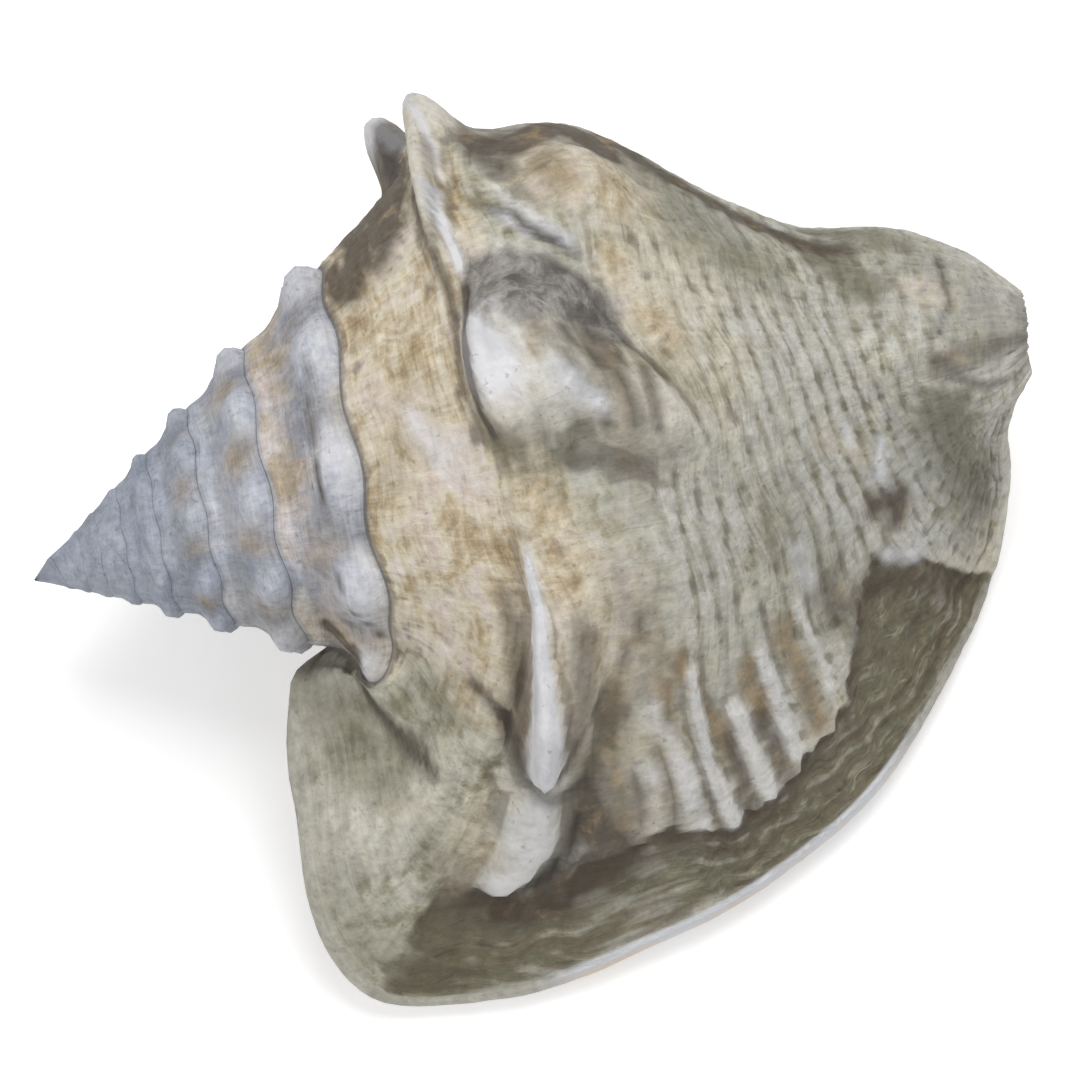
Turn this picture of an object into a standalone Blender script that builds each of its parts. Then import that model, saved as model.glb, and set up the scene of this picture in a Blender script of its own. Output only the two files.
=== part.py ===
"""A milk conch shell, grown as one piece: a coiled tube with a tall knobbed spire, a body whorl with
spines on its shoulder, a broad flared lip and an open mouth underneath.

Every point of the surface has two coordinates. The growth angle turns once for each whorl and ends
at the lip, and the station runs across a whorl, from its suture (0), over the shoulder, to its base
(1). Functions turn the two into points, rows of points are joined into one closed skin, and the
shell is then rolled over until it lies on its mouth, as it does on a table.
"""

import math
from collections import namedtuple

import bmesh
import bpy
import numpy as np
from mathutils import Matrix

# Lengths are in metres and angles in degrees. A point is given as its distance along the coiling
# axis from the apex, then towards the lip's side, then up.
NAME = "milk_conch_shell"
TURN = 360.0

# The coil. A whorl is GROWTH times the one before, and each suture keeps to a cone.
LENGTH = 0.175
GROWTH = 1.36
SUTURE_ALONG = 0.0584
APEX_TURNS = 9
LIP_ANGLE = 100.0

# The axis bows a little, the coils lean on it, the body is flatter than it is wide, most of all on
# the mouth's side, and the spire is slimmer on the lip's side.
AXIS_BOW = 0.115
COIL_LEAN = 0.14
LEAN_FADES = (0.055, 0.105)
FLATTENING = 0.13
FLATTENING_BELOW = 0.27
FLATTENS = (0.025, 0.085)
SLIMMING = 0.10
SLIM_FADES = (0.050, 0.080)
CANAL = (0.13, 0.175)
CANAL_RISE = 0.0045
CANAL_SLANT = 0.25
CANAL_WORN = 0.0022

# Stations on a whorl: its shoulder, the next whorl's suture, and how wide the wall is where it sits.
SHOULDER = 0.30
COVERED = 0.36
SEAT = 0.10
# Near the lip the suture climbs the spire to this station, between these angles.
CLIMBS_TO = 0.07
CLIMBS = (55.0, 100.0)

# A whorl's outline, in lengths of its suture's distance along the axis: station, distance along the
# axis, distance from it. The first is the spire's and the second the last whorl's.
YOUNG = (
    (0.00, 1.000, 0.620), (0.12, 1.100, 0.700), (0.22, 1.200, 0.780), (0.30, 1.285, 0.835),
    (0.36, 1.360, 0.843), (0.50, 1.620, 0.800), (0.65, 2.000, 0.620), (0.80, 2.450, 0.370),
    (0.92, 2.800, 0.170), (1.00, 3.000, 0.050),
)
ADULT = (
    (0.00, 1.000, 0.620), (0.10, 1.150, 0.730), (0.20, 1.320, 0.840), (0.30, 1.455, 0.900),
    (0.40, 1.660, 0.905), (0.50, 1.880, 0.860), (0.60, 2.100, 0.735), (0.70, 2.300, 0.560),
    (0.80, 2.500, 0.430), (0.90, 2.760, 0.345), (0.96, 2.900, 0.260), (1.00, 3.000, 0.135),
)
GROWS_UP = (-260.0, -90.0)
BASE_AT = 3.0
BASE_FROM = 0.4

# The lip's edge: station, then the point.
LIP = (
    (0.00, 0.0446, 0.0236, -0.0040), (0.03, 0.0374, 0.0265, 0.0020), (0.08, 0.0359, 0.0423, 0.0035),
    (0.14, 0.0337, 0.0592, 0.0000), (0.19, 0.0344, 0.0728, -0.0070), (0.24, 0.0406, 0.0829, -0.0120),
    (0.30, 0.0600, 0.0875, -0.0120), (0.40, 0.0870, 0.0852, -0.0105), (0.50, 0.1083, 0.0799, -0.0115),
    (0.60, 0.1303, 0.0690, -0.0140), (0.70, 0.1478, 0.0520, -0.0190), (0.79, 0.1582, 0.0386, -0.0225),
    (0.87, 0.1646, 0.0237, -0.0205), (0.93, 0.1660, 0.0155, -0.0120), (0.97, 0.1682, 0.0118, -0.0070),
    (1.00, 0.1705, 0.0095, -0.0020),
)
# The wing leaves the coil at these angles and reaches the lip with these flares: station, value.
WING_LEAVES = (
    (0.0, 55.0), (0.1, 40.0), (0.2, 32.0), (0.3, 35.0), (0.45, 12.0), (0.6, 0.0), (0.8, -5.0), (1.0, 60.0),
)
FLARE = ((0.0, 0.020), (0.15, 0.037), (0.3, 0.048), (0.6, 0.042), (0.85, 0.022), (1.0, 0.008))
FLARE_DROP = 0.16

# The wall, thicker at the lip, and the hollow behind the mouth.
WALL = 0.0040
LIP_WALL = 0.0055
LIP_THICKENS = 25.0
LIP_ROUNDING = 0.35
RIM_TAPER = 4
CAVITY_TURNS = 0.7
CAVITY_CORNER = 0.08
CORNER_ENDS = 0.25
CANAL_WALL = 0.0025
CANAL_FROM = 0.85
CANAL_STOPS = 0.06
CANAL_OPENS = (25.0, 60.0)
CANAL_DEPTH = 0.003
CANAL_SPLIT = 25.0
SEAM_FADES = 0.12
LIP_SEAM_FADES = 0.035

# The spire's nodules, in lengths of the suture's distance along the axis.
NODULES = 10
NODULE_HEIGHT = 0.05
NODULE_WIDTH = 0.07
NODULES_FADE = (-300.0, -150.0)

# Spines, knobs and hollows of the last whorl. Each is a hill on the surface: where it stands, how far
# it reaches back, on with the growth, towards the apex and towards the base, how its long side
# slants, how high it is, and how blunt. Degrees and stations become lengths by the two scales.
Hill = namedtuple("Hill", "angle station back on apexward baseward slant height bluntness")
AROUND = 0.0008
ACROSS = 0.175
HILLS = (
    Hill(-150, 0.28, 0.010, 0.009, 0.008, 0.009, 0, 0.0140, 1.6),
    Hill(-114, 0.265, 0.009, 0.008, 0.007, 0.008, 0, 0.0170, 1.6),
    Hill(-84, 0.305, 0.010, 0.012, 0.008, 0.009, 0, 0.0125, 1.5),
    Hill(-60, 0.27, 0.018, 0.018, 0.007, 0.008, -18, 0.0055, 2.0),
    Hill(-85, 0.51, 0.016, 0.016, 0.014, 0.016, 0, 0.0025, 2.0),
    Hill(-51, 0.515, 0.010, 0.010, 0.009, 0.011, 0, 0.0040, 2.2),
    Hill(-9, 0.325, 0.014, 0.010, 0.011, 0.014, 0, 0.0095, 2.6),
    Hill(0, 0.43, 0.008, 0.007, 0.019, 0.019, -25, 0.0055, 2.4),
    Hill(53, 0.278, 0.018, 0.0065, 0.0035, 0.008, 0, 0.0140, 1.5),
    Hill(73, 0.297, 0.006, 0.006, 0.005, 0.005, 0, 0.0045, 3.5),
    Hill(54, 0.345, 0.010, 0.008, 0.005, 0.005, 0, -0.0022, 2.0),
    Hill(67, 0.110, 0.008, 0.008, 0.005, 0.005, -35, -0.0025, 2.0),
    Hill(75, 0.730, 0.016, 0.016, 0.004, 0.004, 0, 0.0016, 2.0),
)

# Columns of points in a turn, crowded towards the lip, and rows across each stretch of a whorl.
COLUMNS = 40
CROWDING = 0.5
SPIRE_ROWS = 4
SEAT_ROWS = 2
BODY_ROWS = 22

# The pose on the table: a roll about the length, then a pitch about the width.
ROLL = 11.2
PITCH = -0.55


def smooth(x, low, high):
    """0 below low, 1 above high, and an even S between them."""
    part = np.clip((x - low) / (high - low), 0.0, 1.0)
    return part * part * (3.0 - 2.0 * part)


def curve(table, x):
    """A smooth curve through a table's rows, read at x, with a value for each column but the first."""
    knots = np.array(table, dtype=float)
    places, values = knots[:, 0], knots[:, 1:]
    rates = np.gradient(values, places, axis=0)
    x = np.clip(x, places[0], places[-1])
    i = np.clip(np.searchsorted(places, x, side="right") - 1, 0, len(places) - 2)
    span = (places[i + 1] - places[i])[..., None]
    part = (x - places[i])[..., None] / span
    return hermite(values[i], rates[i] * span, values[i + 1], rates[i + 1] * span, part)


def hermite(start, leaving, end, arriving, part):
    """The cubic from start to end that leaves and arrives with these rates, at a part from 0 to 1."""
    rest = 1 - part
    ends = start * (1 + 2 * part) * rest**2 + end * (3 - 2 * part) * part**2
    return ends + leaving * part * rest**2 - arriving * part**2 * rest


def suture_along(angle):
    """How far along the axis a whorl's suture is."""
    return SUTURE_ALONG * GROWTH ** (angle / TURN)


def coil(angle, station):
    """A point of the plain coil, without the wing."""
    suture = suture_along(angle)
    adult = smooth(angle, *GROWS_UP)[..., None]
    outline = curve(YOUNG, station) * (1 - adult) + curve(ADULT, station) * adult
    base = (LENGTH - CANAL_WORN) * GROWTH ** (np.minimum(angle - LIP_ANGLE + TURN, 0.0) / TURN)
    reach = np.clip((station - BASE_FROM) / (1 - BASE_FROM), 0.0, 1.0) ** 1.5
    along = suture * outline[..., 0] + (base - suture * BASE_AT) * reach
    side = suture * outline[..., 1] * np.sin(np.radians(angle))
    side = side * (1 - np.where(side > 0, SLIMMING * (1 - smooth(along, *SLIM_FADES)), 0.0))
    up = suture * outline[..., 1] * np.cos(np.radians(angle))
    canal = smooth(along, *CANAL)
    lean = COIL_LEAN * (1 - smooth(along, *LEAN_FADES)) + CANAL_SLANT * canal
    bow = AXIS_BOW * along * (1 - along / LENGTH)
    flat = 1 - np.where(up < 0, FLATTENING_BELOW, FLATTENING) * smooth(along, *FLATTENS)
    return np.stack([along - lean * side, side - bow, up * flat + CANAL_RISE * canal], -1)


def lip(station):
    """A point of the lip's edge, and the direction in which the wing reaches it."""
    nudge = 0.01
    ahead, behind = np.minimum(station + nudge, 1.0), np.maximum(station - nudge, 0.0)
    run = curve(LIP, ahead) - curve(LIP, behind)
    out = np.stack([-run[..., 1], run[..., 0], np.zeros_like(station)], -1)
    out /= np.linalg.norm(out, axis=-1, keepdims=True)
    out[..., 2] = -FLARE_DROP
    return curve(LIP, station), out


def plain(angle, station):
    """A point of the smooth outside: the coil, and near the lip the wing that sweeps out to its edge."""
    leaves = curve(WING_LEAVES, station)[..., 0]
    span = LIP_ANGLE - leaves
    part = np.clip((angle - leaves) / span, 0.0, 1.0)[..., None]
    body = coil(np.minimum(angle, leaves), station)
    nudge = 0.5
    leaving = (coil(leaves, station) - coil(leaves - nudge, station)) * (span / nudge)[..., None]
    edge, out = lip(station)
    swept = hermite(body, leaving, edge, out * curve(FLARE, station), part)
    return np.where(part > 0, swept, body)


def outward(angle, station):
    """The direction straight out of the plain surface."""
    turn, shift = 0.6, 0.004
    on = plain(np.minimum(angle + turn, LIP_ANGLE), station) - plain(angle - turn, station)
    across = plain(angle, np.minimum(station + shift, 1.0)) - plain(angle, np.maximum(station - shift, 0.0))
    out = np.cross(across, on)
    return out / np.maximum(np.linalg.norm(out, axis=-1, keepdims=True), 1e-12)


def hill(shape, angle, station):
    """The height of one hill at a point."""
    slant = math.radians(shape.slant)
    on, base = (angle - shape.angle) * AROUND, (station - shape.station) * ACROSS
    along = on * math.cos(slant) + base * math.sin(slant)
    across = base * math.cos(slant) - on * math.sin(slant)
    along = along / np.where(along < 0, shape.back, shape.on)
    across = across / np.where(across < 0, shape.apexward, shape.baseward)
    return shape.height * np.exp(-np.hypot(along, across) ** shape.bluntness)


def relief(angle, station):
    """How far nodules, spines and knobs stand out of the plain surface."""
    wave = 0.5 + 0.5 * np.cos(np.radians(angle) * NODULES)
    ridge = np.exp(-(((station - SHOULDER) / NODULE_WIDTH) ** 2))
    fading = 1 - smooth(angle, *NODULES_FADE)
    height = NODULE_HEIGHT * suture_along(angle) * wave * ridge * fading
    return height + sum(hill(shape, angle, station) for shape in HILLS)


def outside(angle, station):
    """A point of the outside, with its relief."""
    return plain(angle, station) + outward(angle, station) * relief(angle, station)[..., None]


def inside(angle, station):
    """A point of the hollow's wall, behind the outside's station."""
    thick = WALL + (LIP_WALL - WALL) * smooth(angle, LIP_ANGLE - LIP_THICKENS, LIP_ANGLE)
    canal = smooth(station, CANAL_FROM, 1.0)
    thick = thick + (CANAL_WALL - thick) * canal
    station = station + CAVITY_CORNER * (1 - smooth(station, 0.0, CORNER_ENDS))
    station = station - CANAL_STOPS * canal * (1 - smooth(angle, *CANAL_OPENS))
    return plain(angle, station) - outward(angle, station) * thick[..., None]


def covered(angle):
    """The station of a whorl on which the next whorl's suture lies."""
    climb = smooth(angle + TURN, *CLIMBS) * (1 - smooth(angle + TURN, LIP_ANGLE, LIP_ANGLE + 60.0))
    return COVERED + (CLIMBS_TO - COVERED) * climb


class Skin:
    """Points and the faces between rows of them."""

    def __init__(self):
        self.points = []
        self.faces = []

    def add(self, points):
        """Adds points and gives their numbers."""
        first = len(self.points)
        self.points.extend(np.array(points))
        return list(range(first, len(self.points)))

    def at(self, row):
        return np.array([self.points[i] for i in row])

    def join(self, row, following):
        """Faces between two rows of as many points. Where the rows share a point, a face is a triangle."""
        for i in range(len(row) - 1):
            corners = [row[i], following[i], following[i + 1], row[i + 1]]
            face = [corner for k, corner in enumerate(corners) if corner != corners[k - 1]]
            if len(face) > 2:
                self.faces.append(face)

    def fill(self, row, arch):
        """Triangles between two rows that start and end at the same points."""
        i, k = 0, 0
        while i < len(row) - 1 or k < len(arch) - 1:
            if (i + 1) * (len(arch) - 1) <= (k + 1) * (len(row) - 1):
                face = [row[i], row[i + 1], arch[k]]
                i += 1
            else:
                face = [row[i], arch[k + 1], arch[k]]
                k += 1
            if len(set(face)) > 2:
                self.faces.append(face)


def column_angles():
    """The growth angle of each column, from the apex to the lip; a turn apart, columns line up."""
    turns = (APEX_TURNS * COLUMNS - np.arange(APEX_TURNS * COLUMNS + 1)) / COLUMNS
    crowded = turns - CROWDING * np.sin(2 * math.pi * turns) / (2 * math.pi)
    return LIP_ANGLE - TURN * crowded


def spire_rows(skin, angles):
    """The part of every whorl that shows above the next one's suture, a row for each column."""
    apex = skin.add(plain(angles[:1], np.zeros(1)) * [1, 0, 0])[0]
    rows = []
    for c, angle in enumerate(angles):
        stations = np.linspace(0, covered(angle), SPIRE_ROWS + 1)
        points = outside(np.full_like(stations, angle), stations)
        if c == 0:
            rows.append([apex] * (SPIRE_ROWS + 1))
            continue
        start = apex if c < COLUMNS else rows[c - COLUMNS][-1]
        if c < COLUMNS:
            points = skin.points[apex] + (points - skin.points[apex]) * c / COLUMNS
        else:
            fades = SEAM_FADES + (LIP_SEAM_FADES - SEAM_FADES) * smooth(angle, 70.0, 96.0)
            points = points + (skin.points[start] - points[0]) * (1 - smooth(stations, 0.0, fades))[:, None]
        rows.append([start] + skin.add(points[1:]))
    return rows


def station_rows(angle):
    """The stations of a whole column, from its suture to its base."""
    seam = covered(angle)
    spire = np.linspace(0, seam, SPIRE_ROWS + 1)
    seat = np.linspace(seam, seam + SEAT, SEAT_ROWS + 1)[1:]
    body = np.linspace(seam + SEAT, 1.0, BODY_ROWS + 1)[1:]
    return spire, seat, body


def shell_skin():
    """The whole shell as one closed skin: the outside, the lip, the hollow and the canal's end."""
    skin = Skin()
    angles = column_angles()
    last = len(angles) - 1
    mouth = last - COLUMNS
    deep = last - round(CAVITY_TURNS * COLUMNS)
    spire = spire_rows(skin, angles)

    # Below the next suture a whorl shows only in the last turn, and inside the hollow before it.
    seats, bodies = {}, {}
    for c in range(deep - COLUMNS, last + 1):
        _, seat, body = station_rows(angles[c])
        stations = np.append(seat[-1:], body)
        bodies[c] = skin.add(outside(np.full_like(stations, angles[c]), stations))
        if c >= mouth:
            seats[c] = skin.add(outside(np.full_like(seat[:-1], angles[c]), seat[:-1]))
    outer = {c: spire[c] + seats[c] + bodies[c] for c in range(mouth, last + 1)}
    for c in range(mouth):
        skin.join(spire[c], spire[c + 1])
    for c in range(deep - COLUMNS, mouth):
        skin.join(bodies[c], bodies[c + 1])
    for c in range(mouth, last):
        skin.join(outer[c], outer[c + 1])

    # The hollow: the wall's inside, and the columella that joins it to the whorl before.
    inner, columella = {}, {}
    for c in range(deep, last + 1):
        stations = np.concatenate(station_rows(angles[c]))
        parietal = bodies[c - COLUMNS]
        inner[c] = [parietal[0]] + skin.add(inside(np.full_like(stations, angles[c]), stations)[1:])
        share = np.linspace(0, 1, SPIRE_ROWS + SEAT_ROWS + 1)[1:-1, None]
        start, end = skin.points[inner[c][-1]], skin.points[parietal[-1]]
        columella[c] = [inner[c][-1]] + skin.add(start * (1 - share) + end * share) + [parietal[-1]]
    for c in range(deep, last):
        skin.join(inner[c + 1], inner[c])
        skin.join(columella[c + 1], columella[c])
    skin.join(inner[deep], bodies[deep - COLUMNS] + columella[deep][-2::-1])

    rim = lip_rim(skin, outer[last], inner[last], seats[mouth])
    for row, following in zip(rim, rim[1:]):
        skin.join(row, following)

    # The canal's end: a dish inside the coil's base, and the edge that runs from it down to the lip.
    base = [bodies[c][-1] for c in range(mouth, last + 1)]
    turned = int(np.searchsorted(angles[mouth:], CANAL_SPLIT))
    dish = base[: turned + 1]
    middle = skin.add([skin.at(dish).mean(axis=0) - [CANAL_DEPTH, 0, 0]])[0]
    for i, corner in enumerate(dish):
        skin.faces.append([dish[i - 1], corner, middle])
    skin.fill(base[turned:] + [row[-1] for row in rim[1:]], [base[turned]] + columella[last][::-1])
    return skin


def lip_rim(skin, outer, inner, seat):
    """Rows around the lip's edge, from the outside to the inside; they start on the seat's points."""
    start, end = skin.at(outer), skin.at(inner)
    beyond = np.cross(np.gradient(start, axis=0), end - start)
    beyond /= np.linalg.norm(beyond, axis=1, keepdims=True)
    rounding = LIP_ROUNDING * np.minimum(np.linalg.norm(end - start, axis=1, keepdims=True), LIP_WALL)
    rounding[-RIM_TAPER:] *= np.linspace(1, 0, RIM_TAPER)[:, None]
    rim = [outer]
    for k in range(1, SEAT_ROWS):
        share = k / SEAT_ROWS
        bulge = beyond * math.sin(math.pi * share) * rounding
        points = start * (1 - share) + end * share + bulge
        rim.append([seat[k - 1]] + skin.add(points[1:]))
    return rim + [inner]


def material(name, colour, roughness, metallic=0.0):
    """A plain finish."""
    finish = bpy.data.materials.new(name)
    finish.use_nodes = True
    shader = finish.node_tree.nodes["Principled BSDF"]
    shader.inputs["Base Color"].default_value = (*colour, 1.0)
    shader.inputs["Roughness"].default_value = roughness
    shader.inputs["Metallic"].default_value = metallic
    return finish


def make_shell(group):
    """The shell's one solid, with triangles for faces, in the shell's own pose."""
    skin = shell_skin()
    mesh = bpy.data.meshes.new("shell")
    bm = bmesh.new()
    # The lip's side is towards -Y.
    corners = [bm.verts.new((along, -side, up)) for along, side, up in skin.points]
    for face in skin.faces:
        bm.faces.new([corners[i] for i in face])
    bmesh.ops.triangulate(bm, faces=bm.faces)
    bmesh.ops.delete(bm, geom=[v for v in bm.verts if not v.link_faces], context="VERTS")
    bm.to_mesh(mesh)
    bm.free()
    mesh.shade_smooth()
    mesh.materials.append(material("chalky_shell", (0.42, 0.36, 0.26), 0.6))
    shell = bpy.data.objects.new("shell", mesh)
    group.objects.link(shell)
    return shell


def lay_down(shell):
    """Rolls the shell onto its mouth, and puts the middle of its box's base at the origin."""
    pose = Matrix.Rotation(math.radians(PITCH), 4, "Y") @ Matrix.Rotation(math.radians(ROLL), 4, "X")
    shell.data.transform(pose)
    corners = np.array([vertex.co for vertex in shell.data.vertices])
    low, high = corners.min(axis=0), corners.max(axis=0)
    shell.data.transform(Matrix.Translation((-(low[0] + high[0]) / 2, -(low[1] + high[1]) / 2, -low[2])))


def main():
    for thing in list(bpy.data.objects):
        bpy.data.objects.remove(thing, do_unlink=True)
    group = bpy.data.collections.new(NAME)
    bpy.context.scene.collection.children.link(group)
    lay_down(make_shell(group))


main()
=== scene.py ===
"""Looks for a milk conch shell: a finely grown skin with its cords, growth lines and worn knobs, a
weathered chalky outside and a glossy mouth, on a pale studio floor.

Every point of the skin has two coordinates. The growth angle turns once for each whorl and ends at
the lip, and the station runs across a whorl, from its suture (0), over the shoulder, to its base
(1). The same two coordinates place the markings.
"""

import math
from collections import namedtuple

import bpy
import numpy as np
from bpy.props import FloatProperty, FloatVectorProperty, PointerProperty
from mathutils import Matrix, Vector


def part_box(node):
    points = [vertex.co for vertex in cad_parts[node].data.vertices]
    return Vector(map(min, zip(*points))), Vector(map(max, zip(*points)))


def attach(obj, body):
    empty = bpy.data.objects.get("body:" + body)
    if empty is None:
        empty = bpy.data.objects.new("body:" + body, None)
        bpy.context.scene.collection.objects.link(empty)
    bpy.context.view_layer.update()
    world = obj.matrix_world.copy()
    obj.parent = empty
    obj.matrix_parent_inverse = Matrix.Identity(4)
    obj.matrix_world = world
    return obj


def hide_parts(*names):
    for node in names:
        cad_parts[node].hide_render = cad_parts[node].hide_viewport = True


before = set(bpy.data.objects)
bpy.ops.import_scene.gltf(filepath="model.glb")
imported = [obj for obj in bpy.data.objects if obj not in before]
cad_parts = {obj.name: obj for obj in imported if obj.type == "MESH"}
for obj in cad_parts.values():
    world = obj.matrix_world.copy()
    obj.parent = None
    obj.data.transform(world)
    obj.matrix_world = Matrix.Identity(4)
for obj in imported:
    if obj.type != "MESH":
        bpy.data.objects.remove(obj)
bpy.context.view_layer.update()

bl_info = {
    "name": "Milk conch shell",
    "version": (1, 0, 0),
    "blender": (4, 5, 0),
    "location": "3D View > Sidebar > Conch",
    "description": "Grows a conch shell with its cords, knobs and flared lip, and a stage to show it on",
    "category": "Add Mesh",
}

# Lengths are in metres and angles in degrees. A point is given as its distance along the coiling
# axis from the apex, then towards the lip's side, then up. The lip's side is the piece's -Y.
NODE = "shell"
PIECE = "grown_shell"
TURN = 360.0
MIRRORED = (1, -1, 1)

# The coil. A whorl is GROWTH times the one before, and each suture keeps to a cone.
LENGTH = 0.175
GROWTH = 1.36
SUTURE_ALONG = 0.0584
APEX_TURNS = 9
TIP_DRAWN = 0.05
TIP_BLUNTNESS = 0.65
LIP_ANGLE = 100.0

# The axis bows a little, the coils lean on it, the body is flatter than it is wide, most of all on
# the mouth's side, and the spire is slimmer on the lip's side and wider on the other.
AXIS_BOW = 0.115
COIL_LEAN = 0.14
LEAN_FADES = (0.055, 0.105)
FLATTENING = 0.13
FLATTENING_BELOW = 0.27
FLATTENS = (0.025, 0.085)
SLIMMING = 0.12
WIDENING = 0.025
SLIM_FADES = (0.050, 0.080)
CANAL = (0.13, 0.175)
CANAL_RISE = 0.0045
CANAL_SLANT = 0.25
CANAL_WORN = 0.0022

# Stations on a whorl: its shoulder, the next whorl's suture, which bends round the nodules by the
# scallop and climbs near the lip, and how wide the wall is where it sits.
SHOULDER = 0.30
COVERED = 0.36
SCALLOP = 0.010
CLIMBS_TO = 0.07
CLIMBS = (55.0, 100.0)
SEAT = 0.10

# A whorl's outline, in lengths of its suture's distance along the axis: station, distance along the
# axis, distance from it. The first is the spire's and the second the last whorl's.
YOUNG = (
    (0.00, 1.000, 0.620), (0.12, 1.100, 0.700), (0.22, 1.200, 0.780), (0.30, 1.285, 0.835),
    (0.36, 1.360, 0.843), (0.50, 1.620, 0.800), (0.65, 2.000, 0.620), (0.80, 2.450, 0.370),
    (0.92, 2.800, 0.170), (1.00, 3.000, 0.050),
)
ADULT = (
    (0.00, 1.000, 0.620), (0.10, 1.150, 0.730), (0.20, 1.320, 0.840), (0.30, 1.455, 0.900),
    (0.40, 1.660, 0.905), (0.50, 1.880, 0.860), (0.60, 2.100, 0.735), (0.70, 2.300, 0.560),
    (0.80, 2.500, 0.430), (0.90, 2.760, 0.345), (0.96, 2.900, 0.260), (1.00, 3.000, 0.135),
)
GROWS_UP = (-260.0, -90.0)
BASE_AT = 3.0
BASE_FROM = 0.4

# The lip's edge: station, then the point.
LIP = (
    (0.00, 0.0446, 0.0236, -0.0040), (0.03, 0.0387, 0.0265, 0.0020), (0.08, 0.0368, 0.0423, 0.0035),
    (0.14, 0.0337, 0.0592, 0.0000), (0.19, 0.0344, 0.0728, -0.0070), (0.24, 0.0406, 0.0829, -0.0120),
    (0.30, 0.0600, 0.0875, -0.0120), (0.40, 0.0870, 0.0852, -0.0105), (0.50, 0.1083, 0.0799, -0.0115),
    (0.60, 0.1303, 0.0690, -0.0140), (0.70, 0.1478, 0.0520, -0.0190), (0.79, 0.1582, 0.0386, -0.0225),
    (0.87, 0.1646, 0.0237, -0.0205), (0.93, 0.1660, 0.0155, -0.0120), (0.97, 0.1682, 0.0118, -0.0070),
    (1.00, 0.1705, 0.0095, -0.0020),
)
# The wing leaves the coil at these angles and reaches the lip with these flares: station, value.
WING_LEAVES = (
    (0.0, 55.0), (0.1, 40.0), (0.2, 32.0), (0.3, 35.0), (0.45, 12.0), (0.6, 0.0), (0.8, -5.0), (1.0, 60.0),
)
FLARE = ((0.0, 0.020), (0.15, 0.037), (0.3, 0.048), (0.6, 0.042), (0.85, 0.022), (1.0, 0.008))
FLARE_DROP = 0.16

# The wall, thicker at the lip, and the hollow behind the mouth.
WALL = 0.0040
LIP_WALL = 0.0055
LIP_THICKENS = 25.0
LIP_ROUNDING = 0.35
RIM_TAPER = 12
CAVITY_TURNS = 0.7
CAVITY_CORNER = 0.08
CORNER_ENDS = 0.25
CANAL_WALL = 0.0025
CANAL_FROM = 0.85
CANAL_STOPS = 0.06
CANAL_OPENS = (25.0, 60.0)
CANAL_DEPTH = 0.003
TUCK = 0.95
TUCKS = (60.0, 95.0)
TUCK_ENDS = (0.24, 0.40)
LINING_FADES = (2, 40)
CANAL_SPLIT = 25.0
SEAM_FADES = 0.12
LIP_SEAM_FADES = 0.035
NEAR_LIP = (70.0, 96.0)
WHITE_EDGE = ((0.31, 0.36), (0.60, 0.68))

# The spire's nodules, in lengths of the suture's distance along the axis.
NODULES = 10
NODULE_HEIGHT = 0.082
NODULE_WIDTH = 0.065
NODULE_ROUNDNESS = 1.4
NODULES_GROW = (-2000, -1300)
NODULES_FADE = (-300.0, -150.0)
HOLLOW_AT = 0.13
HOLLOW_DEPTH = 0.022

# Spines, knobs and hollows of the last whorl. Each is a hill on the surface: where it stands, how far
# it reaches back, on with the growth, towards the apex and towards the base, how its long side
# slants, how high it is, and how blunt. Degrees and stations become lengths by the two scales.
Hill = namedtuple("Hill", "angle station back on apexward baseward slant height bluntness")
AROUND = 0.0008
ACROSS = 0.175
HILLS = (
    # The spines away from the lip, two of them with a broad foot and a narrower top, and a fold.
    Hill(-150, 0.280, 0.010, 0.009, 0.008, 0.009, 0, 0.0140, 1.6),
    Hill(-114, 0.275, 0.012, 0.012, 0.014, 0.009, 0, 0.0080, 2.0),
    Hill(-114, 0.283, 0.0065, 0.0065, 0.0055, 0.0055, 0, 0.0095, 3.0),
    Hill(-82, 0.310, 0.014, 0.015, 0.009, 0.013, 0, 0.0048, 2.0),
    Hill(-84, 0.318, 0.0085, 0.0085, 0.0062, 0.0070, 0, 0.0042, 2.8),
    Hill(-60, 0.272, 0.018, 0.018, 0.0050, 0.0048, -18, 0.0052, 2.2),
    # Low swellings on the side, the big knob on top with its flank, and the long ridge below it.
    Hill(-85, 0.51, 0.016, 0.016, 0.014, 0.016, 0, 0.0025, 2.0),
    Hill(-49, 0.495, 0.010, 0.010, 0.009, 0.010, 0, 0.0042, 2.4),
    Hill(-10, 0.318, 0.0105, 0.0115, 0.0122, 0.0170, 0, 0.0088, 4.2),
    Hill(-24, 0.375, 0.0080, 0.0080, 0.0120, 0.0120, 0, 0.0036, 3.0),
    Hill(2, 0.455, 0.0075, 0.0065, 0.021, 0.017, -25, 0.0052, 2.6),
    # The blade's foot, the hollow below it, the hollow in the lobe, and a fold near the lip.
    Hill(53, 0.288, 0.016, 0.008, 0.005, 0.010, 0, 0.0070, 1.8),
    Hill(54, 0.350, 0.010, 0.008, 0.004, 0.005, 0, -0.0020, 2.0),
    Hill(67, 0.110, 0.008, 0.008, 0.005, 0.005, -35, -0.0016, 2.0),
    Hill(75, 0.740, 0.016, 0.016, 0.004, 0.004, 0, 0.0016, 2.0),
    # A furrow, a fold and a hollow on the canal, and the nub at its end.
    Hill(-68, 0.790, 0.022, 0.020, 0.007, 0.007, 0, -0.0011, 2.0),
    Hill(-62, 0.850, 0.020, 0.020, 0.006, 0.006, 0, 0.0007, 2.0),
    Hill(-78, 0.960, 0.036, 0.036, 0.012, 0.010, 0, -0.0021, 2.0),
    Hill(52, 0.990, 0.012, 0.012, 0.004, 0.004, 0, 0.0010, 2.0),
)

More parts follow.
